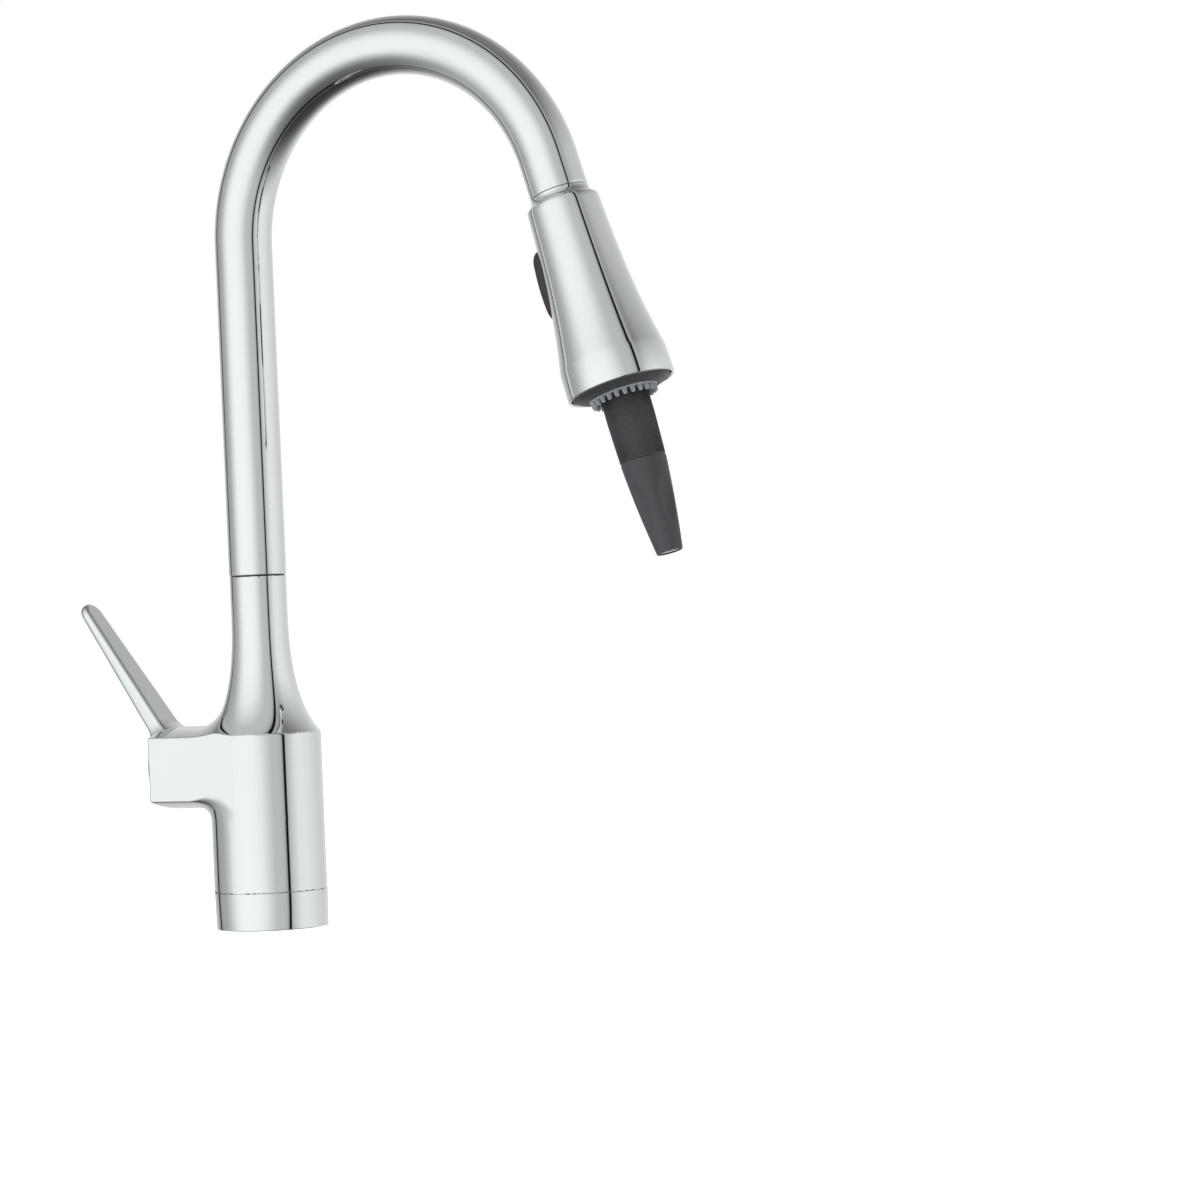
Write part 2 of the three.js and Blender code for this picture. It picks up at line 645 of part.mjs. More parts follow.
const pinEye = rod(togglePinRadius + restGap, -earTo - 0.2, earTo + 0.2, 12).rotateX(Math.PI / 2)
  .translate(togglePinReach, 0, togglePinAt);
const ears = [[-earTo, -earFrom], [earFrom, earTo]].map(([from, to]) => cut(
  block(pocketFloor - 1, earTop, from, to, togglePinAt - earHalf, togglePinAt + earHalf),
  pinEye,
));
const coreOutline = headOutline(headWall + restGap)
  .filter(([, along]) => along < faceSeat - restGap)
  .map(([radius, along]) => [radius, Math.max(along, headCollarEnd)]);
const coreTop = shellTop + 1 + restGap;
const coreBody = cut(
  revolve([
    [4.2, coreTop + 0.8], [headCollarRadius - headWall - 3.2, coreTop + 0.8], ...coreOutline,
    [headCreaseRadius - headWall - restGap, faceSeat - restGap], [4.2, faceSeat - restGap],
  ], fine),
  inNozzle(rod(channelRadius, channelStart, 0, 36)),
  inNozzle(rod(guideOuter + restGap, guideTop - restGap, 0, 36)),
  block(pocketFloor, headRimRadius, -toggleWidth / 2 - windowGap, toggleWidth / 2 + windowGap,
    toggleTop - windowGap, toggleTop + toggleLength + windowGap),
  block(spoolBottom - restGap, pocketFloor + 1, -spoolHalfWidth - restGap, spoolHalfWidth + restGap,
    togglePinAt - spoolHalfLength - 1.2, togglePinAt + spoolHalfLength + 1.2),
);
add(head, 'head_core', join(coreBody, ...ears), blackPlastic);

add(head, 'diverter_spool', cut(
  block(spoolBottom, spoolTop, -spoolHalfWidth, spoolHalfWidth,
    togglePinAt - spoolHalfLength, togglePinAt + spoolHalfLength),
  block(toothTip - restGap, spoolTop + 1, -spoolHalfWidth - 1, spoolHalfWidth + 1,
    togglePinAt - toothHalf - 0.4, togglePinAt + toothHalf + 0.4),
), whitePlastic);

// The toggle: a rocker pad, crowned along its length, with a tooth in the spool's notch.
function togglePad() {
  const foot = togglePinReach - 1.7;
  const crown = curved(
    [toggleTop + 0.2, togglePinReach + 1.5],
    [toggleTop + 8, togglePinReach + 4],
    [toggleTop + toggleLength - 6, togglePinReach + 5.2],
    [toggleTop + toggleLength - 0.2, togglePinReach + 2.6],
    8,
  );
  const side = new THREE.Shape();
  side.moveTo(foot, toggleTop + 0.2);
  side.lineTo(foot, toggleTop + toggleLength - 0.2);
  for (const [along, reach] of crown.reverse()) side.lineTo(reach, along);
  const pad = new THREE.ExtrudeGeometry(side, { depth: toggleWidth, bevelEnabled: false });
  return pad.rotateX(Math.PI / 2).translate(0, toggleWidth / 2, 0);
}
const tooth = block(toothTip, togglePinReach, -spoolHalfWidth + 0.6, spoolHalfWidth - 0.6,
  togglePinAt - toothHalf, togglePinAt + toothHalf);
const earSlots = [-1, 1].map((side) => block(
  0, earTop + restGap,
  Math.min(side * (earFrom - restGap), side * (earTo + restGap)),
  Math.max(side * (earFrom - restGap), side * (earTo + restGap)),
  togglePinAt - earHalf - 0.6, togglePinAt + earHalf + 0.6,
));
add(head, 'toggle', cut(join(togglePad(), tooth), pinEye, ...earSlots), togglePlastic);
const togglePin = rod(togglePinRadius, -earTo, earTo, 12).rotateX(Math.PI / 2);
add(head, 'toggle_pin', togglePin, steel, togglePinAt).position.x = togglePinReach;

// The face: a black plate, a ring of soft nubs and the nozzle's guide.
const guideLean = (nozzlePivot - faceSeat) * Math.tan(nozzleLean); // the guide stands askew in the ring
const nubRingInner = guideOuter + restGap + guideLean;
const nubCircle = nubRingInner + nubRadius + 0.15;
const nubRingOuter = nubCircle + nubRadius + 0.25;
const faceOutside = headLength + faceRise;
const faceEdge = headRimRadius - headWall - restGap - 0.2;
add(head, 'face_plate', revolve([
  [nubRingOuter + restGap, faceSeat], [faceEdge, faceSeat], [faceEdge, headLength - 0.2],
  [nubRingOuter + restGap, faceOutside],
], fine), blackPlastic);
const nubs = [...Array(nubCount).keys()].map((i) => {
  const angle = (i * 2 * Math.PI) / nubCount;
  const nub = new THREE.CylinderGeometry(nubRadius * 0.72, nubRadius, nubHeight + 0.4, 6);
  return nub.rotateX(Math.PI / 2).translate(
    nubCircle * Math.cos(angle), nubCircle * Math.sin(angle), faceOutside + nubHeight / 2 - 0.2,
  );
});
add(head, 'nub_ring', join(
  ring(nubRingOuter, nubRingInner, faceSeat, faceOutside, fine), ...nubs,
), greySilicone);

// ---------------------------------------------------------------- telescoping nozzle
const nozzle = new THREE.Group();
nozzle.position.z = nozzlePivot;
nozzle.rotation.y = nozzleLean;
head.add(nozzle);

const flangeRadius = channelRadius - restGap;
const sleeveInner = sleeveRadius - sleeveWall;
add(nozzle, 'nozzle_guide',
  ring(guideOuter, guideInner, guideTop, faceOutside - nozzlePivot + 0.4, 36), blackPlastic);
const telescopeEnd = sleeveStart + 7;
add(nozzle, 'telescope_tube',
  ring(telescopeRadius, telescopeRadius - 1.2, channelStart + restGap + 1.2, telescopeEnd), whitePlastic);
add(nozzle, 'nozzle_sleeve', revolve([
  [sleeveInner, sleeveStart], [flangeRadius, sleeveStart],
  [flangeRadius, sleeveStart + flangeThickness], [sleeveRadius, sleeveStart + flangeThickness],
  [sleeveRadius, 6], [sleeveRadius - 0.5, sleeveEnd], [sleeveInner, sleeveEnd],
], 36), nozzlePlastic);
add(nozzle, 'nozzle_seal', ring(
  sleeveInner - restGap, telescopeRadius + restGap, sleeveStart + 0.5, sleeveStart + 3.5,
), blackRubber);

// The tip tapers to its spray plate, and four shallow scoops lighten its sides.
const tipRootRadius = sleeveRadius - 0.65;
const tipStart = sleeveEnd + restGap;
const tipBore = telescopeRadius + 0.4;
const outletBore = 4;
const plateSeat = tipEnd - 2;
const tipBlank = revolve([
  [tipBore, sleeveEnd - 7.5], [sleeveInner - restGap, sleeveEnd - 7.5],
  [sleeveInner - restGap, tipStart], [tipRootRadius, tipStart],
  [(tipRootRadius + tipEndRadius) / 2 + 0.3, (tipStart + tipEnd) / 2],
  [tipEndRadius, tipEnd], [tipEndRadius - 0.7, tipEnd], [tipEndRadius - 0.7, plateSeat],
  [outletBore, plateSeat], [outletBore, plateSeat - 15], [tipBore, plateSeat - 15],
], 36);
const scoopRadius = 13;
const scoopDepth = 0.9;
const scoopAt = tipStart + 20;
const scoops = [45, 135, 225, 315].map((degrees) => {
  const reach = scoopRadius + tipRootRadius - 2.1 - scoopDepth;
  return new THREE.SphereGeometry(scoopRadius, 16, 10).scale(1, 1, 1.9)
    .rotateY(THREE.MathUtils.degToRad(-6)).translate(reach, 0, scoopAt)
    .rotateZ(THREE.MathUtils.degToRad(degrees));
});
add(nozzle, 'nozzle_tip', cut(tipBlank, ...scoops), nozzlePlastic);
const jets = [...Array(8).keys()].map((i) => {
  const angle = (i * Math.PI) / 4;
  return [2.7 * Math.cos(angle), 2.7 * Math.sin(angle), 0.5];
});
const sprayPlate = drilledPlate(tipEndRadius - 0.7 - restGap, [...jets, [0, 0, 0.5]], 1.2, 8);
add(nozzle, 'tip_spray_plate', sprayPlate, steel, plateSeat + restGap);

export default faucet;
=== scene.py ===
# %% [markdown]
# # A pull-down kitchen faucet
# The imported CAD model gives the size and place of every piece. Here each visible piece
# gets its real surface: polished chrome castings, a bent tube, moulded plastics and soft
# silicone. The first cell loads the model and keeps its box, because the finished
# pieces have to stay inside it.

# %% Load the frame
import json
import math

import bpy
import numpy as np
from mathutils import Matrix, Vector


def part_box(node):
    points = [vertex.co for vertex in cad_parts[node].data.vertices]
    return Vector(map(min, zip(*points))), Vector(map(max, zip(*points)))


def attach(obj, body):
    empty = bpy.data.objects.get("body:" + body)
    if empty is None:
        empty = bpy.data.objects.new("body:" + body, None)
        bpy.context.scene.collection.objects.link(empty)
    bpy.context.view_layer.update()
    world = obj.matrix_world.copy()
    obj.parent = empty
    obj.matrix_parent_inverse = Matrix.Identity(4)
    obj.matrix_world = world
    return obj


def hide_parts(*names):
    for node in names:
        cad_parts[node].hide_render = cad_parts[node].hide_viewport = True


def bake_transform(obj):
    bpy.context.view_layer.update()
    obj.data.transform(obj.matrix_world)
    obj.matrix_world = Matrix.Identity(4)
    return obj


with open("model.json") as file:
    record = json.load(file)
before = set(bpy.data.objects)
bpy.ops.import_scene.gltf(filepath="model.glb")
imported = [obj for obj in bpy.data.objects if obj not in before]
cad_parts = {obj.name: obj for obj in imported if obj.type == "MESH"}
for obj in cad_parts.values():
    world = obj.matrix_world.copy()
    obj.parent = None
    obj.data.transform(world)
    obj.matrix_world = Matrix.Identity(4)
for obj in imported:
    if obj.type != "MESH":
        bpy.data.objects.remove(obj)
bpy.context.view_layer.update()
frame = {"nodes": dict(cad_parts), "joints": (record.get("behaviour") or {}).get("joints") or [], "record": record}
nodes = frame["nodes"]
joints = {joint["name"]: joint for joint in frame["joints"]}
MM = 0.001

# %% [markdown]
# ## The camera
# A long lens from almost level keeps upright lines upright. The camera stands 1.74 m from
# the column, a hand's width above the deck, and 34 degrees round from the side of the
# faucet, so that the spout comes forwards. It is turned and rolled slightly.

# %% Camera
FOCAL_MM = 116.7
STAND_BACK = 1.7397
EYE_HEIGHT = 0.13665
TURN, TILT, ROLL = 0.0874, 0.0014, 0.0435
ROUND = Matrix.Rotation(math.radians(33.8), 4, "Z")


def aim_camera():
    ahead = Vector((math.sin(TURN) * math.cos(TILT), math.cos(TURN) * math.cos(TILT), math.sin(TILT)))
    right = Vector((math.cos(TURN), -math.sin(TURN), 0))
    down = ahead.cross(right)
    rolled_right = right * math.cos(ROLL) + down * math.sin(ROLL)
    rolled_up = right * math.sin(ROLL) - down * math.cos(ROLL)
    data = bpy.data.cameras.new("camera")
    data.lens = FOCAL_MM
    data.sensor_width = 36
    data.clip_end = 50
    camera = bpy.data.objects.new("camera", data)
    bpy.context.scene.collection.objects.link(camera)
    turned = Matrix((rolled_right, rolled_up, -ahead)).transposed().to_4x4()
    camera.matrix_world = ROUND @ Matrix.Translation((0, -STAND_BACK, EYE_HEIGHT)) @ turned
    bpy.context.scene.camera = camera


aim_camera()
print("camera at", tuple(bpy.context.scene.camera.location))

# %% [markdown]
# ## Colour and nodes
# Colours are written as the hex values a painter would pick, and one function turns them
# into the linear numbers that a renderer adds up. A second small function adds a node
# with its settings and links, so that each material reads as a short list.


# %% Helpers for colours and nodes
def hexcolour(code, alpha=1.0):
    channels = [int(code[i:i + 2], 16) / 255 for i in (0, 2, 4)]
    linear = [c / 12.92 if c <= 0.04045 else ((c + 0.055) / 1.055) ** 2.4 for c in channels]
    return (*linear, alpha)


def put(tree, kind, settings=None, **inputs):
    """Adds a node. A setting is an attribute; an input is a value or another node's output."""
    node = tree.nodes.new(kind)
    for name, value in (settings or {}).items():
        setattr(node, name, value)
    for name, value in inputs.items():
        key = int(name[1:]) if name[0] == "i" and name[1:].isdigit() else name.replace("_", " ")
        socket = node.inputs[key]
        if isinstance(value, bpy.types.NodeSocket):
            tree.links.new(value, socket)
        else:
            socket.default_value = value
    return node


def new_material(name):
    material = bpy.data.materials.new(name)
    material.use_nodes = True
    tree = material.node_tree
    tree.nodes.clear()
    shader = put(tree, "ShaderNodeBsdfPrincipled")
    out = put(tree, "ShaderNodeOutputMaterial")
    tree.links.new(shader.outputs[0], out.inputs[0])
    return material, tree, shader


def object_pattern(tree, grain_mm):
    """Object coordinates scaled so that one unit of the pattern is grain_mm long."""
    place = put(tree, "ShaderNodeTexCoord").outputs["Object"]
    scale = 1 / (grain_mm * MM)
    return put(tree, "ShaderNodeMapping", Vector=place, Scale=(scale, scale, scale)).outputs[0]


def spread(tree, factor, low, high):
    return put(tree, "ShaderNodeMapRange", Value=factor, i3=low, i4=high).outputs[0]


print("helpers ready")

# %% [markdown]
# ## Chrome
# Bright chrome is a thin layer of chromium over polished nickel on brass. It gives the
# eye almost nothing of its own: a slightly cool metal and a mirror. What makes it look
# real is a trace of unevenness left by polishing, and patches where water has dried.


# %% Chrome material
def make_chrome():
    material, tree, shader = new_material("polished_chrome")
    wipe = put(tree, "ShaderNodeTexNoise", Vector=object_pattern(tree, 55), Scale=1.0, Detail=3.0)
    colour = put(tree, "ShaderNodeMix", {"data_type": "RGBA"}, Factor=wipe.outputs[0],
                 i6=hexcolour("EDF1F1"), i7=hexcolour("F6F8F7"))
    tree.links.new(colour.outputs[2], shader.inputs["Base Color"])
    haze = put(tree, "ShaderNodeTexNoise", Vector=object_pattern(tree, 16), Scale=1.0, Detail=4.0)
    tree.links.new(spread(tree, haze.outputs[0], 0.025, 0.065), shader.inputs["Roughness"])
    shader.inputs["Metallic"].default_value = 1.0
    ripple = put(tree, "ShaderNodeTexNoise", Vector=object_pattern(tree, 30), Scale=1.0, Detail=1.0)
    bump = put(tree, "ShaderNodeBump", Height=ripple.outputs[0], Strength=0.02, Distance=0.0003)
    tree.links.new(bump.outputs[0], shader.inputs["Normal"])
    return material


chrome = make_chrome()
print("made", chrome.name)

# %% [markdown]
# ## Other metals
# The shank, nut and stubs are turned from brass bar and left bare, so their surface keeps
# fine rings from the lathe. The screws, pins and spray plate are stainless steel.


# %% Turned metals
def make_turned_metal(name, pale, deep, roughness, ring_mm=0.35):
    """Lathe rings too fine to show are drawn about twice as coarse as the real feed."""
    material, tree, shader = new_material(name)
    stain = put(tree, "ShaderNodeTexNoise", Vector=object_pattern(tree, 9), Scale=1.0, Detail=4.0)
    colour = put(tree, "ShaderNodeMix", {"data_type": "RGBA"}, Factor=stain.outputs[0],
                 i6=hexcolour(deep), i7=hexcolour(pale))
    tree.links.new(colour.outputs[2], shader.inputs["Base Color"])
    shader.inputs["Metallic"].default_value = 1.0
    tree.links.new(spread(tree, stain.outputs[0], roughness - 0.08, roughness + 0.1),
                   shader.inputs["Roughness"])
    rings = put(tree, "ShaderNodeTexWave", {"bands_direction": "Z"},
                Vector=object_pattern(tree, ring_mm * 6), Scale=1.0, Distortion=0.4)
    bump = put(tree, "ShaderNodeBump", Height=rings.outputs[1], Strength=0.25, Distance=0.00005)
    tree.links.new(bump.outputs[0], shader.inputs["Normal"])
    return material


turned_brass = make_turned_metal("turned_brass", "D9BE7C", "B8964F", 0.28)
stainless = make_turned_metal("stainless_steel", "D2D4D5", "B4B7B9", 0.26)
print("made", turned_brass.name, stainless.name)

# %% [markdown]
# ## Plastics, rubber and silicone
# The nozzle, face and toggle are moulded in glass-filled nylon and ABS. The mould is
# spark-eroded, so the parts carry a fine matt grain. Silicone is softer to the eye: a
# little light enters it, and its skin has a dusty sheen.


# %% Moulded materials
def make_moulded(name, light, dark, roughness, grain_mm=0.35, depth=0.00003, sheen=0.0, inside=0.0):
    """The real spark grain is about 0.1 mm; it is drawn coarser so that it shows."""
    material, tree, shader = new_material(name)
    cloud = put(tree, "ShaderNodeTexNoise", Vector=object_pattern(tree, 12), Scale=1.0, Detail=3.0)
    colour = put(tree, "ShaderNodeMix", {"data_type": "RGBA"}, Factor=cloud.outputs[0],
                 i6=hexcolour(dark), i7=hexcolour(light))
    tree.links.new(colour.outputs[2], shader.inputs["Base Color"])
    grain = put(tree, "ShaderNodeTexNoise", Vector=object_pattern(tree, grain_mm), Scale=1.0, Detail=2.0)
    tree.links.new(spread(tree, cloud.outputs[0], roughness - 0.06, roughness + 0.06),
                   shader.inputs["Roughness"])
    bump = put(tree, "ShaderNodeBump", Height=grain.outputs[0], Strength=0.35, Distance=depth)
    tree.links.new(bump.outputs[0], shader.inputs["Normal"])
    shader.inputs["IOR"].default_value = 1.5
    shader.inputs["Sheen Weight"].default_value = sheen
    shader.inputs["Subsurface Weight"].default_value = inside
    shader.inputs["Subsurface Scale"].default_value = 0.001
    return material


face_plastic = make_moulded("black_abs", "353738", "2A2C2D", 0.42)
toggle_plastic = make_moulded("toggle_abs", "302A28", "221D1C", 0.34)
nozzle_plastic = make_moulded("nozzle_nylon", "424246", "333337", 0.46)
acetal = make_moulded("natural_acetal", "E8E6E0", "DCD9D2", 0.45, inside=0.1)
rubber = make_moulded("black_rubber", "262728", "191A1B", 0.75, grain_mm=0.5, sheen=0.2)
silicone = make_moulded("grey_silicone", "878C92", "747980", 0.55, grain_mm=0.6, sheen=0.3, inside=0.15)
alumina = make_moulded("lapped_alumina", "F5F3EE", "ECE9E2", 0.18, grain_mm=0.2, depth=0.000005)
ferrite = make_moulded("coated_ferrite", "3B3734", "2B2826", 0.5, grain_mm=0.4)
print("made the moulded finishes")

# %% [markdown]
# ## The hose cover
# The pull-down hose wears a sleeve braided from nylon yarn, so that it slides quietly
# in the spout. A braid reads as two sets of crossing diagonal ribs.


# %% Braided cover
def make_braid():
    """Yarns are about 0.7 mm wide; both diagonals are drawn as waves and the higher wins."""
    material, tree, shader = new_material("braided_nylon")
    place = object_pattern(tree, 1.4 * 6)
    first = put(tree, "ShaderNodeTexWave", {"bands_direction": "DIAGONAL"}, Vector=place, Scale=1.0)
    mirrored = put(tree, "ShaderNodeMapping", Vector=place, Scale=(-1, 1, 1)).outputs[0]
    second = put(tree, "ShaderNodeTexWave", {"bands_direction": "DIAGONAL"}, Vector=mirrored, Scale=1.0)
    both = put(tree, "ShaderNodeMath", {"operation": "MAXIMUM"}, i0=first.outputs[1], i1=second.outputs[1])
    # The colour follows the same rib height: the crowns are lighter and the gaps between yarns darker, which is
    # painted shade.
    colour = put(tree, "ShaderNodeMix", {"data_type": "RGBA"}, Factor=both.outputs[0],
                 i6=hexcolour("2A2B2D"), i7=hexcolour("5A5C60"))
    tree.links.new(colour.outputs[2], shader.inputs["Base Color"])
    shader.inputs["Roughness"].default_value = 0.6
    bump = put(tree, "ShaderNodeBump", Height=both.outputs[0], Strength=0.6, Distance=0.0002)
    tree.links.new(bump.outputs[0], shader.inputs["Normal"])
    return material


braid = make_braid()
SLOT_FINISH = {
    "chrome": chrome, "brass": turned_brass, "steel": stainless, "black_rubber": rubber,
    "black_plastic": face_plastic, "toggle_plastic": toggle_plastic, "nozzle_plastic": nozzle_plastic,
    "grey_silicone": silicone, "white_plastic": acetal, "ceramic": alumina, "hose_cover": braid,
    "magnet_coat": ferrite,
}
for part in frame["record"]["subparts"]:
    cad_mesh = nodes[part["node"]].data
    cad_mesh.materials.clear()
    cad_mesh.materials.append(SLOT_FINISH[part["material_slot"]])
print("finishes on", len(nodes), "CAD nodes")

# %% [markdown]
# ## Making pieces
# Every piece is a mesh whose vertices are already in place, so its object stays at the
# origin. One function builds it, gives it a finish and a body to ride on, and hides the
# CAD node that it stands for.


# %% Piece helper
SLOT_OF = {part["node"]: part["material_slot"] for part in frame["record"]["subparts"]}
BODY_OF = {n: body for body, names in frame["record"]["behaviour"]["bodies"].items() for n in names}


def as_piece(name, mesh, *replaced, material=None, body=None):
    if name in bpy.data.objects:
        raise ValueError(name)
    piece = bpy.data.objects.new(name, mesh)
    bpy.context.scene.collection.objects.link(piece)
    mesh.materials.clear()
    mesh.materials.append(material or SLOT_FINISH[SLOT_OF[replaced[0]]])
    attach(piece, body or BODY_OF[replaced[0]])
    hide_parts(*replaced)
    print(name, "faces", len(mesh.polygons))
    return piece


def build_mesh(name, points_mm, faces, place=Matrix.Identity(4), normals=None):
    """A smooth mesh from points in millimetres, moved by place, which is in metres."""
    turn = np.array(place.to_3x3())
    shift = np.array(place.translation)
    points = np.asarray(points_mm, float) * MM @ turn.T + shift
    mesh = bpy.data.meshes.new(name)
    mesh.from_pydata(points.tolist(), [], [tuple(int(i) for i in f) for f in faces])
    mesh.validate()
    mesh.polygons.foreach_set("use_smooth", [True] * len(mesh.polygons))
    if normals is not None:
        mesh.normals_split_custom_set_from_vertices((normals @ turn.T).tolist())
    mesh.update()
    return mesh


# %% [markdown]
# ## Turned shapes
# Rings, plates and domes are shapes off a lathe. The outline is walked counter-clockwise
# in radius and height, and spun by laying the same outline at many angles. Sharp corners
# would catch no light, so each corner is cut back by a small round first.


# %% Lathe
def rounded(outline, radius, steps=3):
    """Replaces each corner of a closed outline by a small curve."""
    points = [np.array(p, float) for p in outline]
    soft = []
    for i, here in enumerate(points):
        before, after = points[i - 1] - here, points[(i + 1) % len(points)] - here
        reach = min(radius, np.linalg.norm(before) * 0.45, np.linalg.norm(after) * 0.45)
        start = here + before / np.linalg.norm(before) * reach
        end = here + after / np.linalg.norm(after) * reach
        for k in range(steps + 1):
            t = k / steps
            soft.append((1 - t) ** 2 * start + 2 * t * (1 - t) * here + t * t * end)
    return soft


def turned(name, outline, sides=128, place=Matrix.Identity(4)):
    points = np.array(outline)
    count = len(points)
    angles = np.arange(sides) * 2 * math.pi / sides
    rings = [[r * math.cos(a), r * math.sin(a), z] for a in angles for r, z in points]
    faces = []
    for i in range(sides):
        j = (i + 1) % sides
        for k in range(count):
            m = (k + 1) % count
            faces.append((i * count + k, j * count + k, j * count + m, i * count + m))
    mesh = build_mesh(name, rings, faces, place)
    return mesh


print("lathe ready")

# %% [markdown]
# ## Sculpted castings
# The body, handle, spray shell and nozzle tip flow from one shape into another. They are
# made as a surface between inside and outside: a function gives a number that is negative
# inside the metal, and the surface is where it is zero. Two shapes are blended by a
# soft minimum, which leaves a hollow fillet between them as a caster's pattern has. The
# surface is found on a fine grid, one point for each grid cell that it crosses, and every
# point is then slid along the slope of the function until it lies exactly on the surface.


# %% Surface finder
def soft_min(a, b, width):
    h = np.maximum(width - np.abs(a - b), 0) / width
    return np.minimum(a, b) - h * h * width / 4


def soft_max(a, b, width):
    return -soft_min(-a, -b, width)


def slope(field, p, h=0.04):
    grad = np.empty_like(p)
    for axis in range(3):
        step = np.zeros(3)
        step[axis] = h
        ahead, behind = p + step, p - step
        grad[:, axis] = (field(*ahead.T) - field(*behind.T)) / (2 * h)
    return grad


def sculpt(name, field, low, high, cell, place=Matrix.Identity(4), key=None):
    """Meshes the zero surface of field(x, y, z), all in millimetres.

    A crease that runs through the point key comes out crisp, because that point is put in
    the middle of a grid cell.
    """
    start = [low[i] - 2 * cell for i in range(3)]
    if key:
        start = [k - cell / 2 - math.ceil((k - a) / cell) * cell for k, a in zip(key, start)]
    axes = [np.arange(start[i], high[i] + 3 * cell, cell) for i in range(3)]
    gx, gy, gz = np.meshgrid(*axes, indexing="ij")
    value = field(gx, gy, gz).astype(np.float32)
    inside = value < 0
    shape = np.array(value.shape) - 1
    total = np.zeros((*shape, 3), np.float32)
    hits = np.zeros(shape, np.float32)
    corners = [(i, j, k) for i in (0, 1) for j in (0, 1) for k in (0, 1)]

    def at(array, corner):
        return array[tuple(slice(c, c + n) for c, n in zip(corner, shape))]

    for a in corners:
        for axis in range(3):
            if a[axis] == 1:
                continue
            b = tuple(c + (i == axis) for i, c in enumerate(a))
            va, vb = at(value, a), at(value, b)
            crossed = at(inside, a) != at(inside, b)
            t = np.where(crossed, va / np.where(crossed, va - vb, 1), 0)
            for i in range(3):
                total[..., i] += np.where(crossed, a[i] + (t if i == axis else 0), 0)
            hits += crossed
    active = hits > 0
    number = np.full(shape, -1, np.int64)
    number[active] = np.arange(active.sum())
    base = np.argwhere(active)
    origin = np.array([axis[0] for axis in axes])
    points = origin + (base + total[active] / hits[active][:, None]) * cell
    faces = []
    for axis in range(3):
        u, v = (axis + 1) % 3, (axis + 2) % 3
        first = [slice(1, -1)] * 3
        first[axis] = slice(0, -1)
        second = list(first)
        second[axis] = slice(1, None)
        ina, inb = inside[tuple(first)], inside[tuple(second)]
        where = np.argwhere(ina != inb)
        where[:, u] += 1
        where[:, v] += 1
        out = ina[tuple((where - np.array([i != axis for i in range(3)])).T)]
        quad = []
        for du, dv in ((0, 0), (1, 0), (1, 1), (0, 1)):
            cellat = where.copy()
            cellat[:, u] -= 1 - du
            cellat[:, v] -= 1 - dv
            quad.append(number[tuple(cellat.T)])
        quad = np.stack(quad, 1)
        faces.append(np.where(out[:, None], quad, quad[:, ::-1]))
    faces = np.concatenate(faces)
    for _ in range(4):
        grad = slope(field, points)
        size = np.maximum((grad ** 2).sum(1), 1e-6)
        move = -(field(*points.T) / size)[:, None] * grad
        length = np.maximum(np.linalg.norm(move, axis=1, keepdims=True), 1e-9)
        points = points + move * np.minimum(1, 0.5 * cell / length)
    grad = slope(field, points)
    normals = grad / np.maximum(np.linalg.norm(grad, axis=1, keepdims=True), 1e-9)
    return build_mesh(name, points, faces, place, normals)


print("surface finder ready")

# %% [markdown]
# ## The body casting
# The body is one brass casting: a barrel, a neck that narrows in a long hollow curve
# above a crisp crease, and a hub to the side for the cartridge. The hub's front face
# runs straight into the barrel, so the casting's plan is a circle with a flat-sided arm.

# %% Body sizes in millimetres
BARREL_R = 25.15
CREASE_Z = 86.2
NECK_R = 12.5
NECK_STRAIGHT_Z = 138.0
HUB_REACH = -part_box("body_casting")[0].x / MM
HUB_FACE = 28.6
HUB_Z = CREASE_Z - HUB_FACE / 2
HUB_DOME = 4.2
HUB_FADE = 14.0
BODY_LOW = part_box("body_casting")[0].z / MM
BODY_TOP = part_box("body_casting")[1].z / MM


def bezier(ends, count=200):
    """Points along a cubic curve given by its two ends and two handles."""
    a, b, c, d = [np.array(p, float) for p in ends]
    t = np.linspace(0, 1, count)[:, None]
    return (1 - t) ** 3 * a + 3 * (1 - t) ** 2 * t * b + 3 * (1 - t) * t * t * c + t ** 3 * d


neck = bezier([
    (BARREL_R, CREASE_Z), (BARREL_R - 6.75, CREASE_Z + 7.8),
    (NECK_R, NECK_STRAIGHT_Z - 30), (NECK_R, NECK_STRAIGHT_Z),
])
print("neck from", neck[0], "to", neck[-1], "top", BODY_TOP)

# %% [markdown]
# The barrel is round and the hub has flat sides that touch it, so the hub stands proud of
# the barrel only behind its middle. The hub's underside meets the round barrel in a hollow
# fillet that fades out where the two surfaces touch, and the neck runs into the hub's roof.


# %% Body casting
def ease(value, start, end):
    """Rises smoothly from 0 at start to 1 at end, which may lie below start."""
    t = np.clip((value - start) / (end - start), 0, 1)
    return t * t * (3 - 2 * t)


def capped(distance, along, low, high, edge=0.5):
    """A shape cut off square at two heights, with a small round at the edges."""
    return soft_max(distance, np.maximum(low - along, along - high), edge)


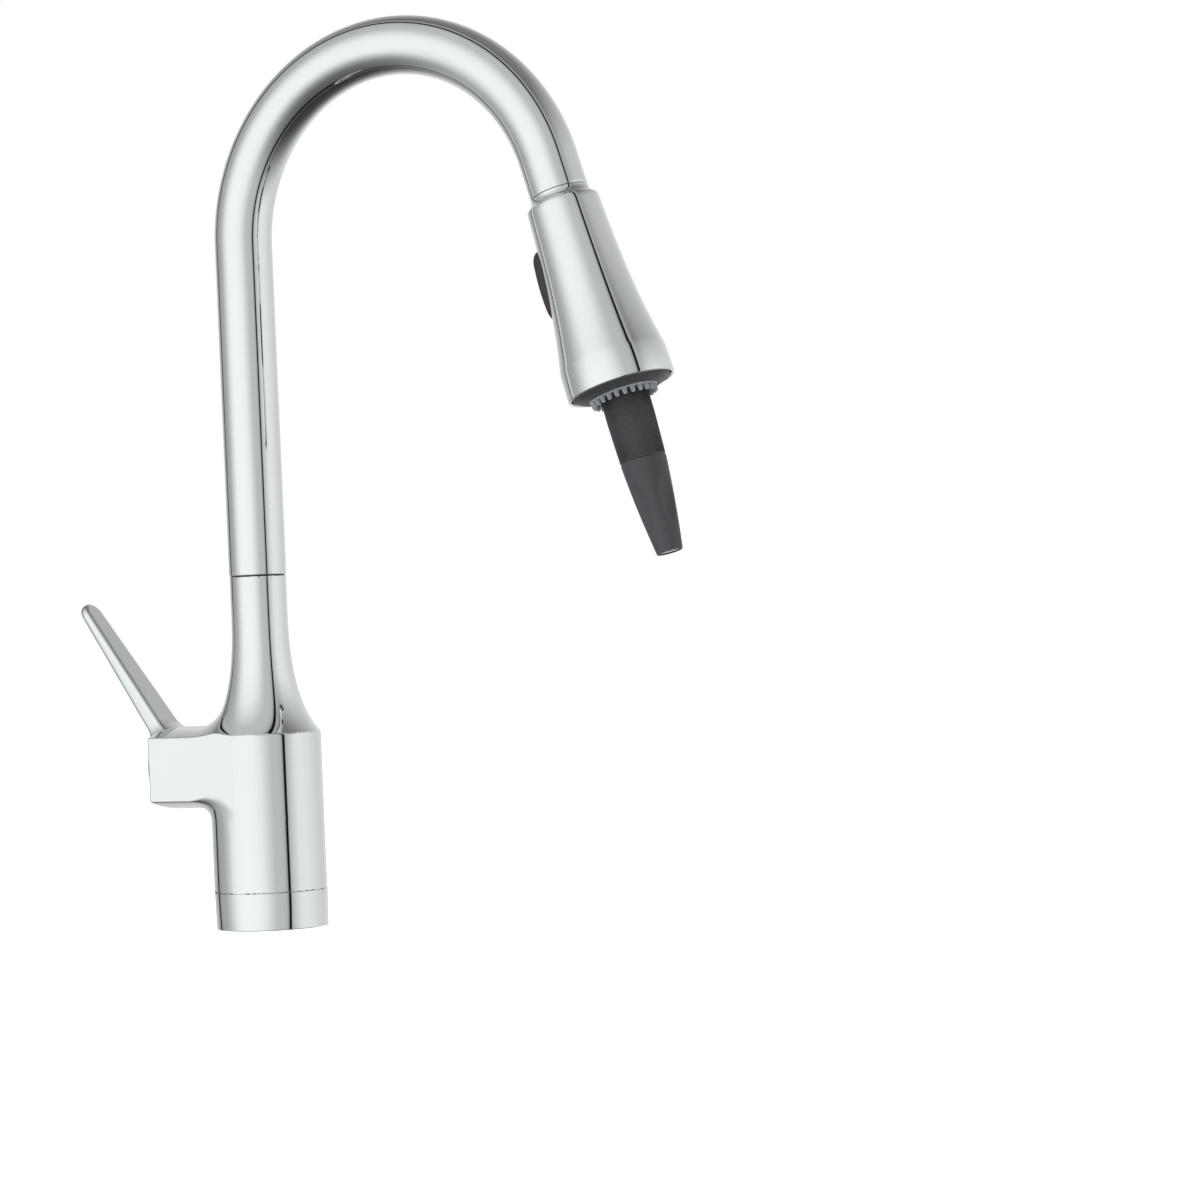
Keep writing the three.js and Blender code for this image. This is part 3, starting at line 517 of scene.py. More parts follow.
def body_field(x, y, z):
    across = np.hypot(x, y)
    dome = HUB_DOME * (1 - np.minimum(np.abs(y) / BARREL_R, 1) ** 2)
    hub_bottom = CREASE_Z - HUB_FACE
    side = np.where(x > 0, across, np.abs(y)) - BARREL_R
    underside = soft_min(hub_bottom - dome - z, across - BARREL_R, 7.0)
    fade = ease(-x, 0, 12) * ease(-x, 26, 16) * ease(z, hub_bottom - HUB_FADE, hub_bottom - 5)
    revolved = across - np.interp(z, neck[:, 1], neck[:, 0])
    roof = np.maximum(z - CREASE_Z - dome, x)
    top = soft_min(revolved, roof, 0.4 + 9.0 * ease(-x, 0, 12))
    outer = soft_max(soft_max(top, side, 0.4), underside, 0.4 + 2.6 * fade)
    outer = soft_max(outer, -x - HUB_REACH, 0.6)
    outer = capped(outer, z, BODY_LOW - 0.27, BODY_TOP, 0.1)
    shank_bore = capped(across - 16.6, z, 0, 40)
    hose_bore = np.maximum(across - 7.2, 30 - z)
    neck_bore = np.maximum(across - 10.7, 108.3 - z)
    cartridge_bore = np.maximum(np.hypot(y, z - HUB_Z) - 14.5, x + 10)
    lock_hole = np.maximum(np.hypot(x, z - (BODY_TOP - 26)) - 2.3, -y)
    hollow = np.minimum.reduce([shank_bore, hose_bore, neck_bore, cartridge_bore, lock_hole])
    return soft_max(outer, -hollow, 0.5)


GRID = HUB_FACE / 41
body_mesh = sculpt("body_skin", body_field, (-HUB_REACH, -BARREL_R, BODY_LOW),
                   (BARREL_R, BARREL_R, BODY_TOP), GRID, key=(-HUB_REACH, -BARREL_R, CREASE_Z))
body_skin = as_piece("body_skin", body_mesh, "body_casting")

# %% [markdown]
# The spout turns on the casting's top edge. A thin black ring lies in that joint; its black
# is painted shade, put there to draw the joint's fine dark line. The base ring below the
# casting is a plain turned sleeve that fits tightly, so its joint hardly shows.

# %% Black ring of painted shade in the joint
SHADE_RING_R = NECK_R - 0.45
# The black of this ring is painted shade: it stands for the shadowed seam under the spout.
shade_ring_skin = turned("slip_washer", rounded([
    (SHADE_RING_R - 0.7, BODY_TOP + 0.05), (SHADE_RING_R, BODY_TOP + 0.05), (SHADE_RING_R, BODY_TOP + 0.45),
    (SHADE_RING_R - 0.7, BODY_TOP + 0.45),
], 0.08), 96)
shade_ring_skin.materials.append(face_plastic)
slip_washer = bpy.data.objects.new("slip_washer", shade_ring_skin)
bpy.context.scene.collection.objects.link(slip_washer)
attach(slip_washer, "spout")

# %% Base ring
base_low, base_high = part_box("base_ring")
BASE_TOP = base_high.z / MM
base_outline = rounded([
    (16.6, 0.3), (19.3, 0.3), (19.3, 2.7), (23.4, 2.7), (23.4, 0.3), (BARREL_R - 0.4, 0.3),
    (BARREL_R - 0.03, BASE_TOP), (16.6, BASE_TOP),
], 0.06)
base_skin = as_piece("base_skin", turned("base_skin", base_outline, 160), "base_ring")

# %% [markdown]
# ## The spout
# The spout is one length of tube bent round a former: straight up, over through 163
# degrees in a single bend, and a short straight end. A shape that follows a rule suits
# Geometry Nodes. The tree lays points along the bend from a few named sizes, turns them
# into a curve and sweeps a circle along it. Solidify then gives the tube its wall.

# %% Spout line in Geometry Nodes
SPOUT_R = 12.7
BEND_R = 80.6
BEND_ANGLE = math.radians(162.9)
END_LENGTH = 15.3
SPOUT_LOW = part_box("spout_tube")[0].z / MM
BEND_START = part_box("spout_tube")[1].z / MM - SPOUT_R - BEND_R
SWEEP_INPUTS = {
    "Start height": SPOUT_LOW * MM, "Bend start": BEND_START * MM, "Bend radius": BEND_R * MM,
    "Bend angle": BEND_ANGLE, "End length": END_LENGTH * MM, "Tube radius": SPOUT_R * MM,
}


def make_sweep_tree(material):
    tree = bpy.data.node_groups.new("bent_tube", "GeometryNodeTree")
    tree.interface.new_socket("Geometry", in_out="OUTPUT", socket_type="NodeSocketGeometry")
    for label in SWEEP_INPUTS:
        tree.interface.new_socket(label, in_out="INPUT", socket_type="NodeSocketFloat")
    for label in ("Rings", "Sides"):
        tree.interface.new_socket(label, in_out="INPUT", socket_type="NodeSocketInt")
    given = put(tree, "NodeGroupInput").outputs

    def calc(operation, first, second=0.0):
        return put(tree, "ShaderNodeMath", {"operation": operation}, i0=first, i1=second).outputs[0]

    rise = calc("SUBTRACT", given["Bend start"], given["Start height"])
    bend = calc("MULTIPLY", given["Bend radius"], given["Bend angle"])
    length = calc("ADD", calc("ADD", rise, bend), given["End length"])
    step = calc("DIVIDE", length, calc("SUBTRACT", given["Rings"], 1.0))
    index = put(tree, "GeometryNodeInputIndex").outputs[0]
    run = calc("MULTIPLY", index, step)
    bent = calc("MINIMUM", calc("MAXIMUM", calc("SUBTRACT", run, rise), 0.0), bend)
    angle = calc("DIVIDE", bent, given["Bend radius"])
    rest = calc("MAXIMUM", calc("SUBTRACT", calc("SUBTRACT", run, rise), bend), 0.0)
    sine, cosine = calc("SINE", angle), calc("COSINE", angle)
    out = calc("SUBTRACT", given["Bend radius"], calc("MULTIPLY", given["Bend radius"], cosine))
    out = calc("ADD", out, calc("MULTIPLY", rest, sine))
    up = calc("ADD", given["Start height"], calc("MINIMUM", run, rise))
    up = calc("ADD", up, calc("MULTIPLY", given["Bend radius"], sine))
    up = calc("ADD", up, calc("MULTIPLY", rest, cosine))
    line = put(tree, "GeometryNodeMeshLine", Count=given["Rings"])
    spot = put(tree, "ShaderNodeCombineXYZ", X=out, Z=up)
    laid = put(tree, "GeometryNodeSetPosition", Geometry=line.outputs[0], Position=spot.outputs[0])
    path = put(tree, "GeometryNodeMeshToCurve", Mesh=laid.outputs[0])
    hoop = put(tree, "GeometryNodeCurvePrimitiveCircle", Resolution=given["Sides"],
               Radius=given["Tube radius"])
    tube = put(tree, "GeometryNodeCurveToMesh", Curve=path.outputs[0], Profile_Curve=hoop.outputs[0])
    smooth = put(tree, "GeometryNodeSetShadeSmooth", Geometry=tube.outputs[0])
    whole = put(tree, "GeometryNodeRealizeInstances", Geometry=smooth.outputs[0])
    dressed = put(tree, "GeometryNodeSetMaterial", Geometry=whole.outputs[0], Material=material)
    put(tree, "NodeGroupOutput", Geometry=dressed.outputs[0])
    return tree


def grown(name, tree, values):
    """Runs a tree with the given named inputs and returns the result as a plain mesh."""
    holder = bpy.data.objects.new(name + "_seed", bpy.data.meshes.new(name + "_seed"))
    bpy.context.scene.collection.objects.link(holder)
    modifier = holder.modifiers.new("grow", "NODES")
    modifier.node_group = tree
    for item in tree.interface.items_tree:
        if item.in_out == "INPUT" and item.name in values:
            modifier[item.identifier] = values[item.name]
    depsgraph = bpy.context.evaluated_depsgraph_get()
    mesh = bpy.data.meshes.new_from_object(holder.evaluated_get(depsgraph))
    holder.modifiers.clear()
    bpy.data.objects.remove(holder)
    mesh.name = name
    return mesh


sweep_tree = make_sweep_tree(chrome)
spout_mesh = grown("spout_skin", sweep_tree, {**SWEEP_INPUTS, "Rings": 260, "Sides": 72})
print("spout points", len(spout_mesh.vertices))

# %% Spout wall and lips
spout_skin = as_piece("spout_skin", spout_mesh, "spout_tube")
wall = spout_skin.modifiers.new("wall", "SOLIDIFY")
wall.thickness = 1.3 * MM
wall.offset = -1
lips = spout_skin.modifiers.new("lips", "BEVEL")
lips.width = 0.35 * MM
lips.segments = 3
lips.limit_method = "ANGLE"
lips.angle_limit = math.radians(60)
print("spout wall", wall.thickness, "m")

# %% [markdown]
# ## The spray head's own frame
# The head hangs at an angle under the spout, so its pieces are made upright along a Z
# axis of their own and then placed by one matrix: Z down the head, X towards the column.

# %% Head frame
dock_x = BEND_R * (1 - math.cos(BEND_ANGLE)) + END_LENGTH * math.sin(BEND_ANGLE)
dock_z = BEND_START + BEND_R * math.sin(BEND_ANGLE) + END_LENGTH * math.cos(BEND_ANGLE)
HEAD = Matrix.Translation((dock_x * MM, 0, dock_z * MM)) @ Matrix.Rotation(BEND_ANGLE, 4, "Y")
NOZZLE_PIVOT = 97.0
NOZZLE_LEAN = math.radians(1.7)
NOZZLE = HEAD @ Matrix.Translation((0, 0, NOZZLE_PIVOT * MM)) @ Matrix.Rotation(NOZZLE_LEAN, 4, "Y")
pull_axis = Vector(joints["head_pull"]["axis"])
print("head axis", tuple(HEAD.col[2])[:3], "joint axis", tuple(pull_axis))

# %% [markdown]
# ## The spray head's shell
# A moulded and chromed shell: a hollowed collar under the joint, a wall that flares, a
# crease, and a nearly straight skirt with a rolled lip. It is turned like a bell from one
# outline, and the window for the toggle is then cut with a Boolean, which keeps the rest
# of the surface as even as the lathe left it.

# %% Shell sizes in millimetres
COLLAR_R = 15.75
COLLAR_END = 5.2
CREASE_R = 23.15
CREASE_S = 76.0
RIM_R = 23.4
HEAD_LENGTH = 88.8
HEAD_WALL = 1.3
INLET_R = 9.3
TOGGLE_FROM, TOGGLE_TO = 20.0, 51.0
TOGGLE_HALF = 7.8

collar = bezier([(SPOUT_R, 0.25), (SPOUT_R, 2.9), (COLLAR_R - 1.5, 4.0), (COLLAR_R - 0.2, 4.8)], 16)
flare = bezier([
    (COLLAR_R, COLLAR_END), (COLLAR_R + 1.35, COLLAR_END + 29.8),
    (CREASE_R - 4.85, CREASE_S - 24), (CREASE_R, CREASE_S),
], 48)
lip = [(RIM_R, HEAD_LENGTH - 0.9), (RIM_R - 0.12, HEAD_LENGTH - 0.4), (RIM_R - 0.4, HEAD_LENGTH - 0.08),
       (RIM_R - 0.7, HEAD_LENGTH), (RIM_R - 1.05, HEAD_LENGTH - 0.12), (RIM_R - HEAD_WALL, HEAD_LENGTH - 0.5)]
inner = [(r - HEAD_WALL, z) for r, z in flare[::-4]] + [(COLLAR_R - HEAD_WALL - 1.6, 3.0), (INLET_R, 1.7)]
shell_outline = [(INLET_R, 0.25), *collar, *flare, *lip, *inner]
print("shell outline points", len(shell_outline))


# %% Shell with its window
def box_2d(a, b, half_a, half_b, corner):
    """Distance to a rectangle with round corners."""
    qa = np.abs(a) - (half_a - corner)
    qb = np.abs(b) - (half_b - corner)
    return np.hypot(np.maximum(qa, 0), np.maximum(qb, 0)) + np.minimum(np.maximum(qa, qb), 0) - corner


TOGGLE_MIDDLE = (TOGGLE_FROM + TOGGLE_TO) / 2
TOGGLE_HALF_LENGTH = (TOGGLE_TO - TOGGLE_FROM) / 2
TOGGLE_CORNER = 6.0


def window_cutter(gap):
    """A block with round corners, pushed through the wall on the column's side."""
    half, reach = TOGGLE_HALF + gap - TOGGLE_CORNER, TOGGLE_HALF_LENGTH + gap - TOGGLE_CORNER
    corners = [(half, reach, 0), (-half, reach, 90), (-half, -reach, 180), (half, -reach, 270)]
    edge = [(y + TOGGLE_CORNER * math.cos(math.radians(first + step)),
             TOGGLE_MIDDLE + z + TOGGLE_CORNER * math.sin(math.radians(first + step)))
            for y, z, first in corners for step in range(0, 91, 15)]
    count = len(edge)
    points = [(x, y, z) for x in (8.0, 30.0) for y, z in edge]
    faces = [(i, (i + 1) % count, count + (i + 1) % count, count + i) for i in range(count)]
    faces += [tuple(reversed(range(count))), tuple(range(count, 2 * count))]
    return build_mesh("window", points, faces, HEAD)


def cut_by(name, blank, cutter):
    """Takes one mesh away from another and returns what is left as a plain mesh."""
    blank_object, cutter_object = [bpy.data.objects.new(m.name + "_tool", m) for m in (blank, cutter)]
    for tool in (blank_object, cutter_object):
        bpy.context.scene.collection.objects.link(tool)
    modifier = blank_object.modifiers.new("cut", "BOOLEAN")
    modifier.operation = "DIFFERENCE"
    modifier.solver = "EXACT"
    modifier.object = cutter_object
    depsgraph = bpy.context.evaluated_depsgraph_get()
    mesh = bpy.data.meshes.new_from_object(blank_object.evaluated_get(depsgraph))
    mesh.name = name
    for tool in (blank_object, cutter_object):
        bpy.data.objects.remove(tool)
    return mesh


shell_mesh = cut_by("shell_skin", turned("shell_blank", shell_outline, 160, HEAD), window_cutter(0.35))
shell_mesh.set_sharp_from_angle(angle=math.radians(24))
shell_skin = as_piece("shell_skin", shell_mesh, "head_shell")

# %% [markdown]
# ## The toggle
# A rocker at the back of the head, where the thumb finds it. Its pad is crowned along
# its length and across, and stands about 3 mm proud of the chrome. Two slots underneath
# take the ears that carry its pin.

# %% Toggle
PIN_REACH, PIN_S = 16.4, 35.5


def toggle_field(x, y, s):
    crown_r = 20.9 - ((s - 39.5) / 15.5) ** 2 * 1.1 - np.maximum((26 - s) / 6, 0) ** 2 * 0.9
    top = np.hypot(x, y) - crown_r
    edge = box_2d(y, s - TOGGLE_MIDDLE, TOGGLE_HALF, TOGGLE_HALF_LENGTH, TOGGLE_CORNER)
    pad = soft_max(soft_max(top, edge, 2.2), PIN_REACH - 1.7 - x, 0.4)
    off = np.abs(s - PIN_S)
    tooth = np.maximum(np.maximum(off - 1.2, np.abs(y) - 1.6), np.maximum(PIN_REACH - 4.8 - x, x - PIN_REACH))
    eye = np.maximum(np.hypot(x - PIN_REACH, off) - 1.4, np.abs(y) - 7.1)
    slots = np.maximum(np.maximum(off - 2.2, np.abs(np.abs(y) - 6.2) - 0.95), x - PIN_REACH - 1.9)
    return np.maximum(np.minimum(pad, tooth), -np.minimum(eye, slots))


toggle_mesh = sculpt("toggle_skin", toggle_field, (11, -8, 19), (22, 8, 52), 0.4, HEAD)
toggle_skin = as_piece("toggle_skin", toggle_mesh, "toggle")

# %% [markdown]
# ## The face
# Looking up at the face: a black plate that bulges out from the chrome lip, then a ring
# of soft nubs that can be rubbed clean of lime, and a collar that guides the nozzle. The
# nubs repeat round a circle, so a node tree places copies of one nub on it.

# %% Face plate and guide
FACE_SEAT = HEAD_LENGTH - 4.4
FACE_S = HEAD_LENGTH + 2.6
GUIDE_R = 11.5
NUB_CIRCLE = 13.57
face_outline = rounded([
    (15.35, FACE_SEAT), (21.65, FACE_SEAT), (21.65, HEAD_LENGTH - 0.3), (18.6, FACE_S - 1.2),
    (15.35, FACE_S - 0.05),
], 0.4)
face_skin = as_piece("face_skin", turned("face_skin", face_outline, 128, HEAD), "face_plate")
guide_outline = rounded([(10.75, -16.2), (GUIDE_R, -16.2), (GUIDE_R, -5.2), (10.75, -5.2)], 0.25)
guide_skin = as_piece("guide_skin", turned("guide_skin", guide_outline, 96, NOZZLE), "nozzle_guide")

# %% Nubs in Geometry Nodes
NUB_COUNT, NUB_HEIGHT, NUB_R = 24, 2.7, 1.2


def nub_mesh():
    """One nub: a tapered post with a rounded end and a pin hole."""
    outline = [(NUB_R, -0.6), (NUB_R * 0.97, 0.3), (NUB_R * 0.74, NUB_HEIGHT - 0.4),
               (NUB_R * 0.62, NUB_HEIGHT - 0.08), (0.45, NUB_HEIGHT), (0.33, NUB_HEIGHT - 0.25),
               (0.28, NUB_HEIGHT - 1.0)]
    sides = 14
    points = [[r * math.cos(a), r * math.sin(a), z]
              for a in (k * 2 * math.pi / sides for k in range(sides)) for r, z in outline]
    count = len(outline)
    faces = [(i * count + k, (i + 1) % sides * count + k, (i + 1) % sides * count + k + 1, i * count + k + 1)
             for i in range(sides) for k in range(count - 1)]
    points += [[0, 0, -0.6], [0, 0, NUB_HEIGHT - 1.0]]
    for i in range(sides):
        j = (i + 1) % sides
        faces.append((len(points) - 2, j * count, i * count))
        faces.append((i * count + count - 1, j * count + count - 1, len(points) - 1))
    return build_mesh("one_nub", points, faces)


def make_circle_tree(name, source, material):
    """Copies of one object evenly round a circle, each turned to face outwards."""
    tree = bpy.data.node_groups.new(name, "GeometryNodeTree")
    tree.interface.new_socket("Geometry", in_out="OUTPUT", socket_type="NodeSocketGeometry")
    tree.interface.new_socket("Count", in_out="INPUT", socket_type="NodeSocketInt")
    tree.interface.new_socket("Radius", in_out="INPUT", socket_type="NodeSocketFloat")
    tree.interface.new_socket("Height", in_out="INPUT", socket_type="NodeSocketFloat")
    given = put(tree, "NodeGroupInput").outputs
    circle = put(tree, "GeometryNodeMeshCircle", Vertices=given["Count"], Radius=given["Radius"])
    lift = put(tree, "ShaderNodeCombineXYZ", Z=given["Height"])
    raised = put(tree, "GeometryNodeSetPosition", Geometry=circle.outputs[0], Offset=lift.outputs[0])
    one = put(tree, "GeometryNodeObjectInfo", Object=source)
    index = put(tree, "GeometryNodeInputIndex").outputs[0]
    step = put(tree, "ShaderNodeMath", {"operation": "DIVIDE"}, i0=2 * math.pi, i1=given["Count"])
    angle = put(tree, "ShaderNodeMath", {"operation": "MULTIPLY"}, i0=index, i1=step.outputs[0])
    turn = put(tree, "ShaderNodeCombineXYZ", Z=angle.outputs[0])
    copies = put(tree, "GeometryNodeInstanceOnPoints", Points=raised.outputs[0],
                 Instance=one.outputs["Geometry"], Rotation=turn.outputs[0])
    whole = put(tree, "GeometryNodeRealizeInstances", Geometry=copies.outputs[0])
    dressed = put(tree, "GeometryNodeSetMaterial", Geometry=whole.outputs[0], Material=material)
    put(tree, "NodeGroupOutput", Geometry=dressed.outputs[0])
    return tree


def ring_of(name, mesh, count, radius_mm, height_mm, material, place):
    """Grows the ring in its own frame and then places it."""
    source = bpy.data.objects.new(name + "_one", mesh)
    bpy.context.scene.collection.objects.link(source)
    tree = make_circle_tree(name + "_ring", source, material)
    made = grown(name, tree, {"Count": count, "Radius": radius_mm * MM, "Height": height_mm * MM})
    bpy.data.objects.remove(source)
    made.transform(place)
    return made


def joined(name, *meshes):
    """Several plain meshes as one, with smooth faces."""
    points, faces, start = [], [], 0
    for mesh in meshes:
        points += [tuple(v.co / MM) for v in mesh.vertices]
        faces += [tuple(start + i for i in p.vertices) for p in mesh.polygons]
        start += len(mesh.vertices)
    return build_mesh(name, points, faces)


nub_band = turned("nub_band", rounded([
    (12.2, FACE_SEAT), (15.05, FACE_SEAT), (15.05, FACE_S + 0.05), (12.2, FACE_S + 0.05),
], 0.3), 128, HEAD)
nub_ring = ring_of("nubs", nub_mesh(), NUB_COUNT, NUB_CIRCLE, FACE_S, silicone, HEAD)
nub_skin = as_piece("nub_skin", joined("nub_skin", nub_band, nub_ring), "nub_ring")

# %% [markdown]
# ## The filling nozzle
# The nozzle slides out of the head. Its sleeve is ribbed for grip with fine upright ribs,
# and its tip is a smooth taper with shallow scoops that end in a small spray plate.

# %% Sleeve with ribs
RIB_COUNT = 84
SLEEVE_R, SLEEVE_END_R = 9.95, 9.45
RIB_FROM, RIB_TO = -15.0, 23.2


def ladder(rings, sides):
    """Faces that join rings of points, one ring after another, into a tube."""
    return [(a * sides + k, a * sides + (k + 1) % sides, (a + 1) * sides + (k + 1) % sides,
             (a + 1) * sides + k) for a in range(rings - 1) for k in range(sides)]


def rib_mesh():
    """One rib, leaning in with the sleeve's taper below the face."""
    half, proud = 0.2, 0.42
    stations = [(RIB_FROM, SLEEVE_R), (6.0, SLEEVE_R), (RIB_TO, SLEEVE_END_R)]
    root = -0.3
    flank, crown = proud * 0.55, half * 0.8
    section = [(root, -half), (flank, -crown), (proud, 0.0), (flank, crown), (root, half)]
    points = [[r - SLEEVE_R + out, side, z] for z, r in stations for out, side in section]
    count = len(section)
    faces = ladder(len(stations), count)
    faces += [tuple(reversed(range(count))), tuple(range(2 * count, 3 * count))]
    return build_mesh("one_rib", points, faces)


sleeve_body = turned("sleeve_body", rounded([
    (8.6, -19.0), (10.95, -19.0), (10.95, -16.5), (SLEEVE_R, -16.5), (SLEEVE_R, 6.0),
    (SLEEVE_END_R, 23.5), (8.6, 23.5),
], 0.2), 168, NOZZLE)
ribs = ring_of("ribs", rib_mesh(), RIB_COUNT, SLEEVE_R, 0.0, nozzle_plastic, NOZZLE)
sleeve_skin = as_piece("sleeve_skin", joined("sleeve_skin", sleeve_body, ribs), "nozzle_sleeve")

# %% Tip with scoops
TIP_START, TIP_END = 23.8, 64.6
TIP_ROOT_R, TIP_END_R = 9.9, 5.6
tip_line = bezier([(TIP_ROOT_R, TIP_START), (9.2, 36.0), (7.6, 51.0), (TIP_END_R, TIP_END)])
SCOOPS = [math.radians(a) for a in (20, 110, 200, 290)]


def tip_field(x, y, u):
    across = np.hypot(x, y)
    cone = capped(across - np.interp(u, tip_line[:, 1], tip_line[:, 0]), u, TIP_START, TIP_END, 0.6)
    spigot = capped(across - 8.3, u, 16, 30, 0.3)
    shape = np.minimum(cone, spigot)
    for angle in SCOOPS:
        out = x * math.cos(angle) + y * math.sin(angle)
        side = -x * math.sin(angle) + y * math.cos(angle)
        centre = 17.9 - (u - 43) * 0.11
        scoop = np.hypot(np.hypot(out - centre, side), (u - 43) / 1.75) - 11.2
        shape = soft_max(shape, -scoop, 0.35)
    bore = np.where(u < 47.6, across - 5.8, across - 4.0)
    seat = np.maximum(across - 4.9, (TIP_END - 2.0) - u)
    return soft_max(shape, -np.minimum(bore, seat), 0.3)


TIP_GRID = 0.33
tip_mesh = sculpt("tip_skin", tip_field, (-10, -10, 16), (10, 10, TIP_END), TIP_GRID, NOZZLE)
tip_skin = as_piece("tip_skin", tip_mesh, "nozzle_tip")
# The black nozzle would draw a dark streak in the neck's mirror, so it is left out there.
for dark in (sleeve_skin, tip_skin):
    dark.visible_glossy = False

# %% [markdown]
# ## The handle
# A dome on a ball joint, with a blade that grows out of it in one flowing casting. The
# dome turns for temperature and tips outwards for flow.

# %% Handle
DOME_R, DOME_WALL = 18.2, 1.2
LEVER_LENGTH = 92.0
HANDLE_TILT = math.radians(9)
LEVER_RISE = math.radians(46)
PIVOT = Vector(joints["handle_flow"]["pos_m"])
MOUTH_ANGLE = math.acos((HUB_REACH + 0.8 + PIVOT.x / MM) / DOME_R) - HANDLE_TILT
HUB = Matrix.Translation(PIVOT) @ Matrix.Rotation(-math.pi / 2, 4, "Y")
HANDLE = HUB @ Matrix.Rotation(HANDLE_TILT, 4, "Y")


def handle_field(x, y, z):
    ball = np.sqrt(x * x + y * y + z * z)
    along = x * math.sin(LEVER_RISE) + z * math.cos(LEVER_RISE)
    thick = x * math.cos(LEVER_RISE) - z * math.sin(LEVER_RISE)
    share = np.clip((along - 10) / (LEVER_LENGTH - 10), 0, 1)
    half_wide = 8.6 - 2.9 * share
    half_thick = 4.2 - 2.0 * share
    tip = LEVER_LENGTH - 6
    over = np.maximum(along - tip, 0)
    plan = np.hypot(np.maximum(np.abs(y) - half_wide + 5.6, 0), over) - 5.6
    blade = soft_max(plan, np.abs(thick - 0.6 + share * 0.8) - half_thick, 2.4)
    blade = np.maximum(blade, 6 - along)
    outer = soft_min(ball - DOME_R, blade, 7.0)
    mouth = DOME_R * math.cos(MOUTH_ANGLE) - z
    shell = soft_max(outer, mouth, 0.6)
    hollow = soft_max(ball - (DOME_R - DOME_WALL), z - 15.4, 0.3)
    boss = capped(np.hypot(x, y) - 6.0, z, 10.2, 17.6, 0.3)
    whole = np.minimum(soft_max(shell, -hollow, 0.5), boss)
    socket = np.maximum(np.hypot(x, y) - 4.2, z - 16.4)
    screw_hole = np.maximum(np.hypot(y, z - 12.2) - 2.1, x)
    return np.maximum(whole, -np.minimum(socket, screw_hole))


HANDLE_GRID = 0.7
handle_mesh = sculpt("handle_skin", handle_field, (-19, -19, 6), (75, 19, 75), HANDLE_GRID, HANDLE)
handle_skin = as_piece("handle_skin", handle_mesh, "handle")

# %% Bonnet
BONNET_R = 16.6


def arc(radius, start, end, count=14):
    return [(radius * math.sin(a), radius * math.cos(a)) for a in np.linspace(start, end, count)]


BONNET_INNER = BONNET_R - 1.4
SEAT = 4.3
BONNET_MOUTH = math.radians(38)
bonnet_outline = arc(BONNET_R, math.acos(SEAT / BONNET_R), BONNET_MOUTH)
bonnet_outline += arc(BONNET_INNER, BONNET_MOUTH, math.acos(SEAT / BONNET_INNER))
bonnet_skin = as_piece("bonnet_skin", turned("bonnet_skin", bonnet_outline, 128, HUB), "handle_bonnet")

# %% [markdown]
# ## The pull-down hose
# The hose lies in the spout. The piece between its end and the head has to reach out
# when the head is pulled down, so that short stretch is made as a piece of its own, laid
# along the end of the bend in the head's frame.

# %% Hose
HOSE_R = 5.25
FERRULE_S = -25.0
REACH_LENGTH = 6.5
REACH_FROM = FERRULE_S - 0.3 - REACH_LENGTH
run_turn = (-REACH_FROM - END_LENGTH) / BEND_R
hose_values = {
    **SWEEP_INPUTS, "Start height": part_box("pull_hose")[0].z, "Tube radius": HOSE_R * MM,
    "Bend angle": BEND_ANGLE - run_turn, "End length": 0.0001, "Rings": 220, "Sides": 24,
}


def hose_reach_mesh(rings=40, sides=24):
    """The last stretch before the ferrule, still following the end of the bend."""
    points = []
    for s in np.linspace(REACH_FROM, FERRULE_S - 0.3, rings):
        bow = max(-s - END_LENGTH, 0) ** 2 / (2 * BEND_R)
        points += [[bow + HOSE_R * math.cos(a), HOSE_R * math.sin(a), s]
                   for a in np.arange(sides) * 2 * math.pi / sides]
    faces = ladder(rings, sides)
    faces += [tuple(reversed(range(sides))), tuple(range((rings - 1) * sides, rings * sides))]
    return build_mesh("hose_reach", points, faces, HEAD)


hose_run = as_piece("hose_run", grown("hose_run", make_sweep_tree(braid), hose_values), "pull_hose")
reach = hose_reach_mesh()
reach.materials.append(braid)
hose_reach = bpy.data.objects.new("hose_reach", reach)
bpy.context.scene.collection.objects.link(hose_reach)
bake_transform(hose_reach)

# %% [markdown]
# ## Room and light
# Chrome shows the room, so the room is designed first. It is a pale tent in two halves:
# a bright half to the front left with a soft fall-off, and a greyer half behind to the
# right. They meet in one narrow dark gap, which draws the fine black lines that run
# along every tube. The tent also darkens low down, high up behind, and towards the rear
# left, which gives the undersides and edges their tone. A lamp lights the plain pale floor.

# %% World
BRIGHT_SIDE = ROUND.to_3x3() @ Vector((math.sin(math.radians(-48)), -math.cos(math.radians(-48)), 0.0))
DUSK_SIDE = ROUND.to_3x3() @ Vector((math.sin(math.radians(-135)), -math.cos(math.radians(-135)), 0.0))


